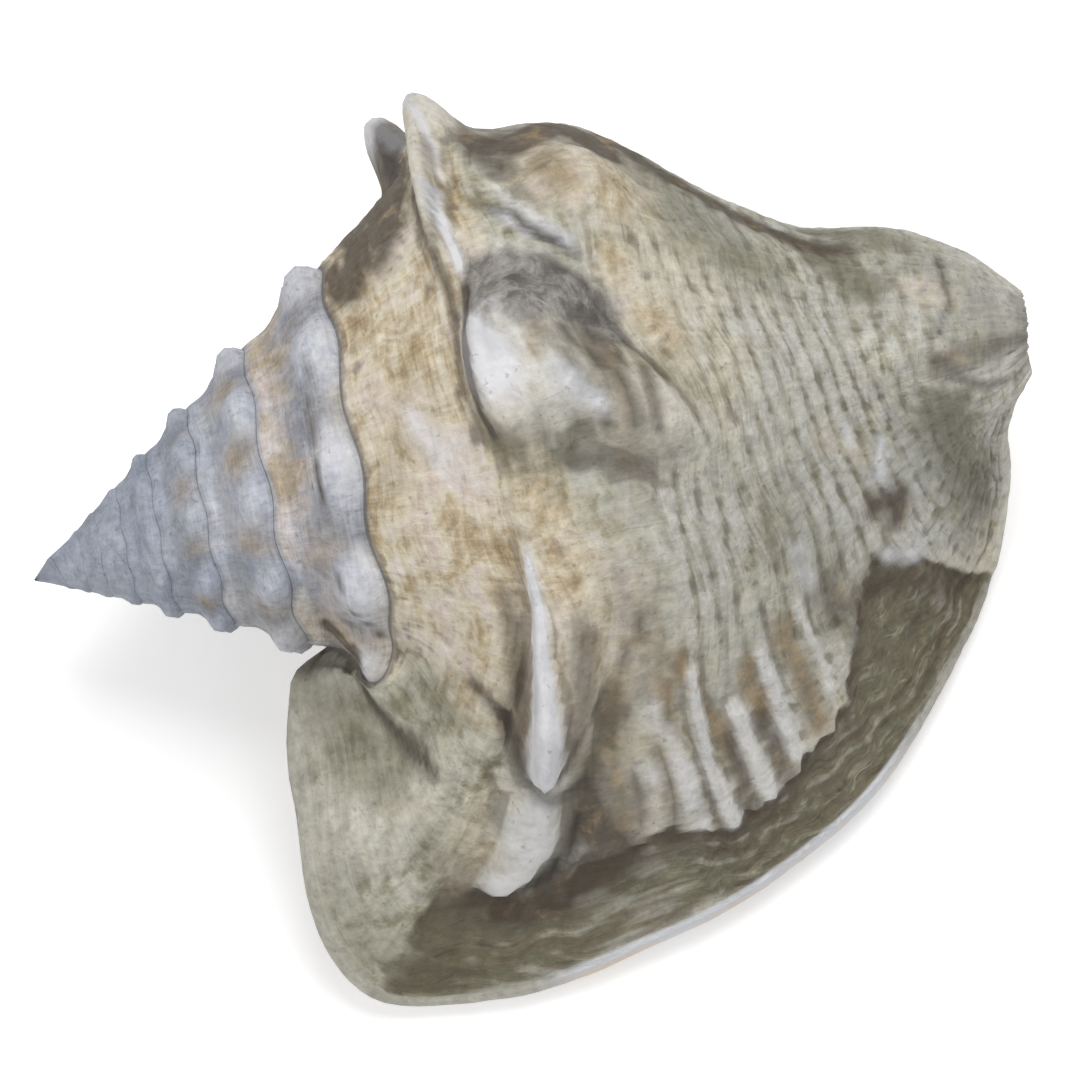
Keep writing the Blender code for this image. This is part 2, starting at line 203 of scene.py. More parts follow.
# The worn blade and the broken stub after it: how blunt and how bare each is, and its angle, station,
# height and half width from end to end.
Ridge = namedtuple("Ridge", "bluntness bareness places")
RIDGES = (
    Ridge(2.4, 2.2, (
        (20.0, 0.270, 0.0006, 0.0026), (32.3, 0.262, 0.0024, 0.0026), (39.9, 0.257, 0.0042, 0.0024),
        (46.2, 0.267, 0.0060, 0.0023), (50.9, 0.276, 0.0072, 0.0023), (55.0, 0.282, 0.0076, 0.0023),
        (57.2, 0.286, 0.0074, 0.0025),
    )),
    Ridge(6.0, 0.6, (
        (67.6, 0.295, 0.0022, 0.0036), (72.1, 0.300, 0.0034, 0.0041), (75.1, 0.295, 0.0040, 0.0034),
        (77.6, 0.290, 0.0036, 0.0026),
    )),
)

# The fine skin: columns of points in a turn, crowded towards the lip, and rows across a whorl's spire
# part, where it sits on the next, and the rest, for earlier whorls, for the last, and in the hollow.
COLUMNS = 288
CROWDING = 0.25
Rows = namedtuple("Rows", "spire seat body")
EARLY_ROWS = Rows(12, 2, 34)
LAST_ROWS = Rows(42, 6, 110)
HOLLOW_ROWS = Rows(14, 2, 34)
STRIP_ROWS = 4

# The map that the finish is laid on: the corner and the size of each sheet of the skin. The spire's
# whorls lie below STRIPS_TOP in strips, the earliest on top, each as large as its whorl.
CHART = {
    "outside": ((0.0, 0.40), (1.0, 0.60)),
    "parietal": ((0.0, 0.005), (0.24, 0.15)),
    "hollow": ((0.25, 0.005), (0.25, 0.15)),
    "columella": ((0.51, 0.005), (0.24, 0.05)),
    "hollow_end": ((0.76, 0.005), (0.04, 0.10)),
    "lip": ((0.76, 0.12), (0.06, 0.22)),
    "canal_edge": ((0.90, 0.12), (0.03, 0.20)),
}
STRIPS_TOP = 0.385
STRIP_SIZE = (0.99, 0.042)
STRIP_ROOM = 1.15
DISH_SPOT = (0.90, 0.06)
DISH_RADIUS = 0.03
DISH_LINING = 0.6

# The pose on the table: a roll about the length, then a pitch about the width.
ROLL = 11.2
PITCH = -0.55

# Cords run round the last whorl at even stations, from its shoulder to the canal's neck, fainter on
# the whorl's start. On the wing they turn to a few bare ribs.
FIRST_CORD = 0.413
CORD_GAP = 0.0265
THREAD_GAP = 0.0135
RIPPLE_GAP = 0.040
LAST_WHORL = (-300, -240)
BELOW_SHOULDER = (0.335, 0.42)
NECK = (0.86, 0.95)
CORDS_GROW = (-70, -40)
CORDS_SHOW = (0.36, 0.44)
WORN_HILLS = (0.002, 0.008)
WING = (45, 70)
BARE_RIBS = ((44, 60), (0.60, 0.66))
MARKS_START = (-130, -120)

# The ribbed layer ends at a ledge before the lip: station, growth angle. The ledge is ragged, and is
# worn to a soft slope over the last two bands of stations by so many degrees.
LEDGE = (
    (0.22, 86.0), (0.25, 80.0), (0.28, 81.0), (0.32, 82.5), (0.37, 79.5), (0.41, 77.0), (0.46, 79.0),
    (0.495, 82.0), (0.53, 81.5), (0.565, 77.0), (0.605, 76.0), (0.64, 66.0), (0.67, 56.0), (0.70, 53.0),
    (0.73, 57.0), (0.755, 65.0), (0.775, 80.0), (0.80, 104.0), (1.00, 108.0),
)
LEDGE_STARTS = (0.22, 0.27)
SOFT_BASEWARD = (5.0, (0.58, 0.66))
SOFT_APEXWARD = (4.0, (0.28, 0.36))

# Markings: the tone of each, how wide and how strong it is, the places it runs through, each a growth
# angle and a station, and how far it stands out, if it does.
Stroke = namedtuple("Stroke", "tone width strength places height", defaults=(0.0,))
STROKES = (
    # Bare ribs before the ledge.
    Stroke("rib", 0.0009, 0.8, ((53, 0.417), (64, 0.413), (75, 0.411)), 0.0004),
    Stroke("rib", 0.0011, 1.3, ((57, 0.440), (67.5, 0.452), (78, 0.462)), 0.0009),
    Stroke("rib", 0.0012, 1.5, ((49, 0.465), (56, 0.468), (70, 0.482), (81, 0.494)), 0.0011),
    Stroke("rib", 0.0012, 1.4, ((58, 0.511), (68.5, 0.522), (80, 0.529)), 0.0010),
    Stroke("rib", 0.0011, 1.2, ((50.5, 0.546), (63.5, 0.555), (75, 0.560)), 0.0008),
    Stroke("rib", 0.0008, 0.8, ((46, 0.598), (60, 0.608), (70, 0.606)), 0.0005),
    # Creases darkened with painted shade, and painted shadows beside the big knob and the stub.
    Stroke("dark", 0.0010, 0.9, ((51, 0.152), (51, 0.182), (53, 0.217), (56.5, 0.250),
                                 (60, 0.272)), -0.0007),
    Stroke("dark", 0.0009, 0.8, ((60, 0.272), (63, 0.288), (65.5, 0.305), (65.5, 0.323),
                                 (64, 0.345)), -0.0004),
    Stroke("dark", 0.0010, 0.6, ((37, 0.413), (43, 0.385), (49.5, 0.357), (54, 0.325),
                                 (61, 0.305)), -0.0007),
    Stroke("dark", 0.0010, 0.5, ((53, 0.388), (62, 0.398), (69, 0.403), (77, 0.410)), -0.0004),
    # The painted shadow along the big knob's left side.
    Stroke("dark", 0.0018, 1.6, ((-27, 0.282), (-15.5, 0.270), (-8.5, 0.266), (-3.5, 0.262),
                                 (0, 0.270)), -0.0009),
    Stroke("dark", 0.0010, 0.6, ((-28, 0.410), (-23, 0.453), (-11, 0.478), (-5, 0.503), (2, 0.522),
                                 (10, 0.532)), -0.0006),
    Stroke("dark", 0.0012, 0.7, ((-66, 0.300), (-55.5, 0.288), (-44, 0.262), (-37, 0.240)), -0.0006),
    Stroke("dark", 0.0011, 0.9, ((97, 0.012), (88, 0.015), (79, 0.018), (76, 0.060), (72.5, 0.088),
                                 (68.5, 0.133), (67, 0.155)), -0.0008),
    # The painted shadow at the stub's right and lower side.
    Stroke("dark", 0.0010, 1.0, ((81, 0.280), (82, 0.300), (79.5, 0.325), (75, 0.341),
                                 (70, 0.344)), -0.0008),
    # A grey-brown band below the knob's ridge: part brown colour, part painted shadow.
    Stroke("dark", 0.0018, 0.5, ((8, 0.365), (10.5, 0.413), (12, 0.460), (9.5, 0.505))),
    Stroke("dark", 0.0030, 1.5, ((-106, 0.300), (-104, 0.240), (-96, 0.200))),
    Stroke("dark", 0.0020, 0.6, ((8, 0.880), (16, 0.900), (26, 0.935), (34, 0.975))),
    Stroke("dark", 0.0009, 0.5, ((-48, 0.902), (-20, 0.906), (-4, 0.888)), -0.0003),
    Stroke("dark", 0.0012, 0.8, ((-45, 0.380), (-38, 0.410), (-33, 0.440)), -0.0004),
    Stroke("dark", 0.0018, 0.5, ((-40, 0.990), (2, 0.997), (45, 0.990))),
    Stroke("dark", 0.0012, 1.0, ((-330, 0.235), (-326, 0.251), (-315, 0.282), (-306, 0.324)), -0.0004),
    # Brown stains and shadowed hollows.
    Stroke("brown", 0.0030, 0.7, ((33, 0.200), (41, 0.205), (49, 0.232), (56, 0.262))),
    Stroke("brown", 0.0042, 0.7, ((40, 0.318), (50, 0.315), (58, 0.308))),
    Stroke("brown", 0.0052, 1.5, ((-68, 0.375), (-67, 0.422), (-71, 0.470), (-77, 0.510), (-66, 0.540))),
    Stroke("brown", 0.0032, 1.0, ((-62, 0.372), (-57, 0.408))),
    Stroke("brown", 0.0050, 1.1, ((-78, 0.560), (-67, 0.610), (-63, 0.660), (-56, 0.720), (-51, 0.800))),
    Stroke("brown", 0.0075, 2.0, ((-106, 0.230), (-88, 0.190), (-70, 0.160), (-62, 0.140))),
    Stroke("brown", 0.0060, 1.5, ((-86, 0.070), (-68, 0.090), (-54, 0.066))),
    Stroke("brown", 0.0040, 1.2, ((-64, 0.025), (-50, 0.036))),
    Stroke("brown", 0.0045, 1.1, ((-64, 0.105), (-52, 0.085), (-47, 0.055))),
    Stroke("brown", 0.0050, 1.3, ((-90, 0.130), (-72, 0.135), (-66, 0.125))),
    Stroke("brown", 0.0030, 0.9, ((-62, 0.225), (-48, 0.225), (-30, 0.245), (-20, 0.240))),
    Stroke("brown", 0.0014, 0.9, ((-13, 0.405), (-6, 0.398), (2, 0.392))),
    Stroke("brown", 0.0014, 1.0, ((-13, 0.438), (-6, 0.428), (3, 0.420))),
    Stroke("brown", 0.0018, 1.0, ((-11, 0.464), (-5, 0.455), (4, 0.445))),
    Stroke("brown", 0.0016, 0.9, ((-4, 0.485), (6, 0.475))),
    Stroke("brown", 0.0030, 0.7, ((56, 0.668), (59, 0.690), (66, 0.725), (76, 0.748), (88, 0.764))),
    Stroke("brown", 0.0030, 1.0, ((42, 0.728), (46, 0.766), (49, 0.740))),
    Stroke("brown", 0.0036, 0.8, ((48, 0.640), (52, 0.640), (60, 0.660))),
    Stroke("brown", 0.0034, 1.1, ((66, 0.350), (73, 0.365), (77, 0.385))),
    Stroke("brown", 0.0034, 1.4, ((82, 0.330), (80, 0.360), (79, 0.390))),
    Stroke("brown", 0.0016, 0.75, ((62, 0.428), (70, 0.434), (79, 0.439))),
    Stroke("brown", 0.0016, 0.75, ((64, 0.474), (72, 0.477), (80, 0.480))),
    Stroke("brown", 0.0016, 0.75, ((62, 0.503), (72, 0.507), (82, 0.513))),
    Stroke("brown", 0.0018, 0.75, ((62, 0.538), (70, 0.543), (80, 0.547))),
    Stroke("brown", 0.0060, 0.6, ((10, 0.885), (8, 0.940), (7, 0.975))),
    Stroke("brown", 0.0034, 0.4, ((74.5, 0.198), (76, 0.235), (78, 0.262))),
    Stroke("brown", 0.0020, 1.2, ((84, 0.345), (85, 0.320), (85, 0.295))),
    Stroke("brown", 0.0020, 0.8, ((-378, 0.225), (-370, 0.235))),
    Stroke("brown", 0.0026, 1.2, ((-363, 0.242), (-355, 0.239))),
    Stroke("brown", 0.0040, 1.4, ((-300, 0.120), (-290, 0.190), (-294, 0.240))),
    Stroke("brown", 0.0050, 0.35, ((34, 0.378), (42, 0.403), (49, 0.415))),
    Stroke("brown", 0.0040, 0.9, ((-56, 0.160), (-50, 0.118))),
    # Ochre stains.
    Stroke("ochre", 0.0080, 0.3, ((-12, 0.118), (-4, 0.085), (4, 0.052))),
    Stroke("ochre", 0.0018, 1.0, ((50, 0.432), (60, 0.428))),
    Stroke("ochre", 0.0018, 1.1, ((46, 0.452), (58, 0.486), (66, 0.500))),
    Stroke("ochre", 0.0024, 1.1, ((52, 0.530), (62, 0.540))),
    Stroke("ochre", 0.0024, 1.0, ((50, 0.576), (62, 0.584), (72, 0.586))),
    Stroke("ochre", 0.0026, 0.9, ((50, 0.365), (60, 0.372), (72, 0.385))),
    Stroke("ochre", 0.0022, 1.0, ((-13, 0.367), (-10, 0.362))),
    Stroke("ochre", 0.0060, 0.45, ((-10, 0.405), (-2, 0.430), (6, 0.450))),
    Stroke("ochre", 0.0040, 0.8, ((-54.5, 0.463), (-46, 0.468))),
    # Olive hollows.
    Stroke("olive", 0.0032, 1.2, ((-2, 0.262), (2, 0.275), (4, 0.305))),
    Stroke("olive", 0.0032, 0.7, ((3, 0.338), (9, 0.350), (14, 0.318))),
    Stroke("olive", 0.0100, 1.1, ((30, 0.885), (57, 0.878), (80, 0.863))),
    Stroke("olive", 0.0110, 0.45, ((-50, 0.860), (-20, 0.930), (10, 0.950))),
    Stroke("olive", 0.0100, 0.7, ((-62, 0.600), (-45, 0.620), (-34, 0.690))),
    Stroke("olive", 0.0055, 1.0, ((-72, 0.800), (-62, 0.845), (-52, 0.860))),
    Stroke("olive", 0.0060, 1.1, ((-54.5, 0.780), (-40, 0.795), (-27, 0.823))),
    Stroke("olive", 0.0060, 0.45, ((46, 0.160), (58, 0.125), (62, 0.080))),
    Stroke("olive", 0.0070, 0.8, ((95, 0.040), (87.5, 0.060), (80, 0.080), (74, 0.110))),
    Stroke("olive", 0.0070, 0.5, ((96, 0.150), (95, 0.200), (93, 0.245))),
    Stroke("olive", 0.0050, 0.4, ((97, 0.060), (98, 0.110), (97, 0.150))),
    Stroke("olive", 0.0030, 0.8, ((60, 0.340), (66, 0.335), (72, 0.345))),
    Stroke("olive", 0.0090, 0.35, ((13, 0.295), (16, 0.388))),
    Stroke("olive", 0.0070, 0.35, ((31, 0.613), (40, 0.623))),
    Stroke("olive", 0.0060, 0.6, ((-56, 0.823), (-47, 0.833))),
    # Dusty grey patches.
    Stroke("grey", 0.0050, 1.3, ((-28, 0.312), (-26, 0.372), (-23, 0.422), (-18, 0.455))),
    Stroke("grey", 0.0042, 1.1, ((-22, 0.300), (-19.5, 0.350), (-18.5, 0.400))),
    Stroke("grey", 0.0024, 1.2, ((-18, 0.455), (-12, 0.470))),
    Stroke("grey", 0.0016, 1.1, ((-45, 0.362), (-38, 0.398), (-31.5, 0.443))),
    Stroke("grey", 0.0022, 0.8, ((-391, 0.285), (-386, 0.255), (-380, 0.230))),
    # Cream, tan and yellow.
    Stroke("warm", 0.0085, 1.6, ((-52, 0.465), (-47, 0.520))),
    Stroke("warm", 0.0045, 1.1, ((-27, 0.500), (-18, 0.500), (-12, 0.535))),
    Stroke("warm", 0.0090, 1.2, ((20, 0.300), (32, 0.345), (40, 0.370))),
    Stroke("warm", 0.0080, 1.0, ((16, 0.125), (30, 0.160), (44, 0.150))),
    Stroke("warm", 0.0050, 0.8, ((-30, 0.120), (-14, 0.110), (0, 0.100))),
    Stroke("warm", 0.0040, 0.8, ((68, 0.235), (75, 0.262))),
    Stroke("warm", 0.0050, 0.6, ((-28, 0.878), (-20, 0.890))),
    Stroke("warm", 0.0036, 0.5, ((20, 0.705), (29, 0.745))),
    # Bare white shell, and the painted highlight on the big knob.
    # Partly the big knob's pale polished shell, partly a painted highlight.
    Stroke("white", 0.0050, 1.7, ((-14, 0.290), (-10, 0.305))),
    Stroke("white", 0.0022, 0.9, ((-6, 0.375), (0, 0.420))),
    Stroke("white", 0.0010, 1.0, ((-80, 0.306), (-66, 0.308), (-56, 0.297))),
    Stroke("white", 0.0022, 1.3, ((-52, 0.277), (-45, 0.274), (-39.5, 0.276), (-34, 0.285))),
    Stroke("white", 0.0028, 1.2, ((-112, 0.268), (-104, 0.280))),
    Stroke("white", 0.0030, 1.0, ((-88, 0.300), (-83, 0.300))),
    Stroke("white", 0.0013, 0.9, ((-48, 0.383), (-38, 0.427), (-32, 0.458))),
    Stroke("white", 0.0012, 0.8, ((-44, 0.370), (-36, 0.400))),
    Stroke("white", 0.0018, 0.8, ((55.5, 0.718), (58, 0.733), (62, 0.745))),
    Stroke("white", 0.0016, 0.8, ((28, 0.777), (36.5, 0.750))),
    Stroke("white", 0.0018, 0.6, ((19, 0.733), (23, 0.730))),
    Stroke("white", 0.0022, 0.5, ((38, 0.615), (44, 0.622))),
    Stroke("white", 0.0036, 0.6, ((-6, 0.120), (2, 0.150))),
    Stroke("white", 0.0030, 0.5, ((-334, 0.324), (-327, 0.315))),
    Stroke("white", 0.0030, 0.7, ((-296, 0.266), (-290, 0.278))),
    Stroke("white", 0.0034, 0.4, ((-373, 0.287), (-362, 0.324), (-352, 0.324))),
)
TONES = ("grey", "warm", "brown", "ochre", "white", "dark", "olive", "rib")

# The masks that the finish is mixed by, besides the tones', and how far a crest and a knob stand out
# to count in full.
MASKS = ("crest", "stand", "mouth", "spire", "early", "creamy", "between", "ramp", "lobe", "corded", "groove",
         "margin", "shade", "edge")
FULL_CREST = 0.00012
FULL_STAND = 0.0016

# The camera looks straight down on the shell's own upright pose, with its length turned by VIEW_TURN.
VIEW_TURN = 14.0
VIEW_WIDTH = 0.18279
VIEW_MIDDLE = (0.08488, 0.01419)
VIEW_ENDS = 20.0

# The floor goes over to plain white between these distances from its middle.
FLOOR_HALF = 3.0
FLOOR_FADES = (0.25, 0.70)

# The lamps: the way to each from the shell's middle, seen from the camera, its size, and its share of
# the power.
LAMPS = {
    "main_lamp": ((0.15, 0.80, 1.10), 0.6, 1.0),
    "side_lamp": ((-0.8, -0.4, 0.9), 0.8, 0.50),
    "low_lamp": ((0.7, -0.6, 0.9), 0.8, 0.18),
}
LAMP_DISTANCE = 1.1
SHELL_MIDDLE = (0.0, 0.0, 0.04)


def smooth(x, low, high):
    """0 below low, 1 above high, and an even S between them."""
    part = np.clip((x - low) / (high - low), 0.0, 1.0)
    return part * part * (3.0 - 2.0 * part)


def curve(table, x):
    """A smooth curve through a table's rows, read at x, with a value for each column but the first."""
    knots = np.array(table, dtype=float)
    places, values = knots[:, 0], knots[:, 1:]
    rates = np.gradient(values, places, axis=0)
    x = np.clip(x, places[0], places[-1])
    i = np.clip(np.searchsorted(places, x, side="right") - 1, 0, len(places) - 2)
    span = (places[i + 1] - places[i])[..., None]
    part = (x - places[i])[..., None] / span
    return hermite(values[i], rates[i] * span, values[i + 1], rates[i + 1] * span, part)


def hermite(start, leaving, end, arriving, part):
    """The cubic from start to end that leaves and arrives with these rates, at a part from 0 to 1."""
    rest = 1 - part
    ends = start * (1 + 2 * part) * rest**2 + end * (3 - 2 * part) * part**2
    return ends + leaving * part * rest**2 - arriving * part**2 * rest


def suture_along(angle):
    """How far along the axis a whorl's suture is."""
    return SUTURE_ALONG * GROWTH ** (angle / TURN)


def coil(angle, station):
    """A point of the plain coil, without the wing."""
    suture = suture_along(angle)
    adult = smooth(angle, *GROWS_UP)[..., None]
    outline = curve(YOUNG, station) * (1 - adult) + curve(ADULT, station) * adult
    base = (LENGTH - CANAL_WORN) * GROWTH ** (np.minimum(angle - LIP_ANGLE + TURN, 0.0) / TURN)
    reach = np.clip((station - BASE_FROM) / (1 - BASE_FROM), 0.0, 1.0) ** 1.5
    along = suture * outline[..., 0] + (base - suture * BASE_AT) * reach
    side = suture * outline[..., 1] * np.sin(np.radians(angle))
    side = side * (1 + np.where(side > 0, -SLIMMING, WIDENING) * (1 - smooth(along, *SLIM_FADES)))
    up = suture * outline[..., 1] * np.cos(np.radians(angle))
    canal = smooth(along, *CANAL)
    lean = COIL_LEAN * (1 - smooth(along, *LEAN_FADES)) + CANAL_SLANT * canal
    bow = AXIS_BOW * along * (1 - along / LENGTH)
    flat = 1 - np.where(up < 0, FLATTENING_BELOW, FLATTENING) * smooth(along, *FLATTENS)
    return np.stack([along - lean * side, side - bow, up * flat + CANAL_RISE * canal], -1)


def lip(station):
    """A point of the lip's edge, and the direction in which the wing reaches it."""
    nudge = 0.01
    ahead, behind = np.minimum(station + nudge, 1.0), np.maximum(station - nudge, 0.0)
    run = curve(LIP, ahead) - curve(LIP, behind)
    out = np.stack([-run[..., 1], run[..., 0], np.zeros_like(station)], -1)
    out /= np.linalg.norm(out, axis=-1, keepdims=True)
    out[..., 2] = -FLARE_DROP
    return curve(LIP, station), out


def plain(angle, station):
    """A point of the smooth outside: the coil, and near the lip the wing that sweeps out to its edge."""
    leaves = curve(WING_LEAVES, station)[..., 0]
    span = LIP_ANGLE - leaves
    part = np.clip((angle - leaves) / span, 0.0, 1.0)[..., None]
    body = coil(np.minimum(angle, leaves), station)
    nudge = 0.5
    leaving = (coil(leaves, station) - coil(leaves - nudge, station)) * (span / nudge)[..., None]
    edge, out = lip(station)
    swept = hermite(body, leaving, edge, out * curve(FLARE, station), part)
    return np.where(part > 0, swept, body)


def outward(angle, station):
    """The direction straight out of the plain surface."""
    turn, shift = 0.6, 0.004
    on = plain(np.minimum(angle + turn, LIP_ANGLE), station) - plain(angle - turn, station)
    across = plain(angle, np.minimum(station + shift, 1.0)) - plain(angle, np.maximum(station - shift, 0.0))
    out = np.cross(across, on)
    return out / np.maximum(np.linalg.norm(out, axis=-1, keepdims=True), 1e-12)


def hill(shape, angle, station):
    """The height of one hill at a point."""
    slant = math.radians(shape.slant)
    on, base = (angle - shape.angle) * AROUND, (station - shape.station) * ACROSS
    along = on * math.cos(slant) + base * math.sin(slant)
    across = base * math.cos(slant) - on * math.sin(slant)
    along = along / np.where(along < 0, shape.back, shape.on)
    across = across / np.where(across < 0, shape.apexward, shape.baseward)
    return shape.height * np.exp(-np.hypot(along, across) ** shape.bluntness)


def along_ridge(ridge, angle, station):
    """How high a ridge stands at a point, and how much it covers it."""
    nearest, height = np.full(np.shape(angle), np.inf), 0.0
    x, y = angle * AROUND, station * ACROSS
    for start, end in zip(ridge.places, ridge.places[1:]):
        ax, ay = start[0] * AROUND, start[1] * ACROSS
        dx, dy = end[0] * AROUND - ax, end[1] * ACROSS - ay
        part = np.clip(((x - ax) * dx + (y - ay) * dy) / (dx * dx + dy * dy), 0, 1)
        far = np.hypot(x - ax - part * dx, y - ay - part * dy) / (start[3] + (end[3] - start[3]) * part)
        height = np.where(far < nearest, start[2] + (end[2] - start[2]) * part, height)
        nearest = np.minimum(nearest, far)
    cover = np.exp(-(nearest**ridge.bluntness))
    return height * cover, cover


def relief(angle, station):
    """How far nodules, spines and knobs stand out of the plain surface."""
    wave = (0.5 + 0.5 * np.cos(np.radians(angle) * NODULES)) ** NODULE_ROUNDNESS
    ridge = np.exp(-(((station - SHOULDER) / NODULE_WIDTH) ** 2))
    hollow = np.exp(-(((station - HOLLOW_AT) / NODULE_WIDTH) ** 2))
    fading = (1 - smooth(angle, *NODULES_FADE)) * (0.3 + 0.7 * smooth(angle, *NODULES_GROW))
    height = (NODULE_HEIGHT * wave * ridge - HOLLOW_DEPTH * hollow) * suture_along(angle) * fading
    height = height + sum(hill(shape, angle, station) for shape in HILLS)
    return height + sum(along_ridge(ridge, angle, station)[0] for ridge in RIDGES)


def wander(x, y, seed, octaves=3):
    """A smooth uneven wave over two numbers, from about -1 to 1, the same each run. Each octave is a
    finer and weaker wave, turned and shifted by the seed."""
    total, size = 0.0, 1.0
    for k in range(octaves):
        turn = seed * 2.4 + k * 1.9
        crossing = turn + 1.3
        wave = np.sin(x * math.cos(turn) + y * math.sin(turn) + seed * 5.1 + 3 * k)
        crossed = np.sin(x * math.cos(crossing) * 1.27 - y * math.sin(crossing) * 1.27 + seed * 2.7 + k)
        total = total + size * wave * crossed
        x, y, size = x * 1.93, y * 1.93, size * 0.55
    return total


def ledge(angle, station):
    """1 on the ribbed layer, and 0 past its end."""
    edge = curve(LEDGE, station)[..., 0] + 1.6 * wander(station * 55, angle * 0.05, 3.0)
    edge = edge + 0.9 * wander(station * 170, angle * 0.1, 3.7)
    soft = SOFT_BASEWARD[0] * smooth(station, *SOFT_BASEWARD[1])
    soft = soft + SOFT_APEXWARD[0] * (1 - smooth(station, *SOFT_APEXWARD[1]))
    return 1 - smooth(angle, edge - 0.8 - soft, edge + 0.6 + soft)


def cords(angle, station):
    """The cords' profile, from 0 between them to about 1 on their backs."""
    place = station + 0.0045 * wander(angle * 0.08, station * 18, 1.0)
    place = place + 0.0018 * wander(angle * 0.35, station * 70, 3.5)
    phase = (place - FIRST_CORD) / CORD_GAP
    back = 1 - (0.5 - 0.5 * np.cos(2 * np.pi * phase)) ** 2.2
    beads = 0.85 + 0.22 * wander(angle * 0.20, np.round(phase) * 2.1, 2.0)
    worn = smooth(wander(angle * 0.06, station * 11, 2.5), -0.9, 0.5)
    return np.clip(back * beads * (0.35 + 0.65 * worn), 0, 1.2)


def bare_ribs(angle, station):
    """1 on the wing where the cords have given way to bare ribs, and 0 elsewhere."""
    from_angle, to_station = BARE_RIBS
    return smooth(angle, *from_angle) * (1 - smooth(station, *to_station))


def near_stroke(stroke, angle, station):
    """How strongly a stroke covers a point, fading across its width and past its ends."""
    far = np.full(np.shape(angle), 1.0)
    x, y = angle * AROUND, station * ACROSS
    for start, end in zip(stroke.places, stroke.places[1:]):
        ax, ay = start[0] * AROUND, start[1] * ACROSS
        dx, dy = end[0] * AROUND - ax, end[1] * ACROSS - ay
        part = np.clip(((x - ax) * dx + (y - ay) * dy) / (dx * dx + dy * dy), 0, 1)
        far = np.minimum(far, np.hypot(x - ax - part * dx, y - ay - part * dy))
    uneven = 1 + 0.22 * wander(angle * 0.45, station * 110, stroke.places[0][1] * 31)
    return np.exp(-((far / (stroke.width * uneven)) ** 2.4))


def cords_kept(angle, station, ribbed):
    """How much of the cords is left at the whorl's start, on the hills, past the ledge and on the wing."""
    started = 0.45 + 0.55 * smooth(angle, *CORDS_GROW)
    low_ground = 1 - smooth(sum(abs(hill(shape, angle, station)) for shape in HILLS), *WORN_HILLS)
    bared = 1 - 0.85 * bare_ribs(angle, station)
    return started * (0.1 + 0.9 * ribbed) * (0.25 + 0.75 * low_ground) * bared


def fine_relief(angle, station, sizes):
    """What stands out besides the hills: cords, strokes, threads, ripples, the ledge and wear."""
    last = smooth(angle, *LAST_WHORL)
    wing = smooth(angle, *WING)
    ribbed = ledge(angle, station)
    scale = np.minimum(suture_along(angle) / SUTURE_ALONG, 1.0)

    body = smooth(station, *BELOW_SHOULDER) * (1 - 0.6 * smooth(station, *NECK)) * last
    height = sizes.cord_height * cords(angle, station) * body * cords_kept(angle, station, ribbed)
    for stroke in STROKES:
        if stroke.height:
            lumps = 1 + 0.35 * wander(angle * 0.5, station * 40, stroke.places[0][1] * 9)
            drawn = near_stroke(stroke, angle, station) * smooth(angle, *MARKS_START)
            height = height + stroke.height * lumps * drawn

    threads = np.cos(2 * np.pi * station / THREAD_GAP + 1.2 * wander(angle * 0.15, station * 20, 4.0))
    height = height + sizes.thread_height * threads * (1 - 0.7 * body) * scale**2
    bent = angle + 2.2 * wander(station * 22, angle * 0.02, 5.0) * (1 + wing)
    bent = bent + np.cos(2 * np.pi * station / RIPPLE_GAP) * wing
    ripples = wander(bent * 0.8, station * 3.0, 6.0) + 0.7 * wander(bent * 2.1, station * 4.0, 7.0)
    height = height + sizes.ripple_height * ripples * (0.5 + 0.5 * wing) * scale
    height = height - sizes.ledge_height * (1 - ribbed) * smooth(station, *LEDGE_STARTS)
    rough = wander(angle * 0.5, station * 60, 8.0, 4) + 0.6 * wander(angle * 1.3, station * 150, 9.0, 3)
    height = height + sizes.roughness * rough * last
    return height * smooth(station, 0.0, 0.03)


def outside(angle, station, sizes=None):
    """A point of the outside, with its relief, and with its fine relief if sizes are given."""
    height = relief(angle, station)
    if sizes is not None:
        height = height + fine_relief(angle, station, sizes)
    return plain(angle, station) + outward(angle, station) * height[..., None]


def inside(angle, station):
    """A point of the hollow's wall, behind the outside's station."""
    thick = WALL + (LIP_WALL - WALL) * smooth(angle, LIP_ANGLE - LIP_THICKENS, LIP_ANGLE)
    canal = smooth(station, CANAL_FROM, 1.0)
    thick = thick + (CANAL_WALL - thick) * canal
    station = station + CAVITY_CORNER * (1 - smooth(station, 0.0, CORNER_ENDS))
    tuck = TUCK * smooth(angle, *TUCKS) * (1 - smooth(station, *TUCK_ENDS))
    station = station - CANAL_STOPS * canal * (1 - smooth(angle, *CANAL_OPENS))
    out = outward(angle, station) * (1 - tuck[..., None])
    out[..., 2] += tuck
    return plain(angle, station) - out * thick[..., None]


def covered(angle):
    """The station of a whorl on which the next whorl's suture lies."""
    climb = smooth(angle + TURN, *CLIMBS) * (1 - smooth(angle + TURN, LIP_ANGLE, LIP_ANGLE + 60.0))
    seam = COVERED + SCALLOP * np.cos(np.radians(angle) * NODULES)
    return seam + (CLIMBS_TO - seam) * climb


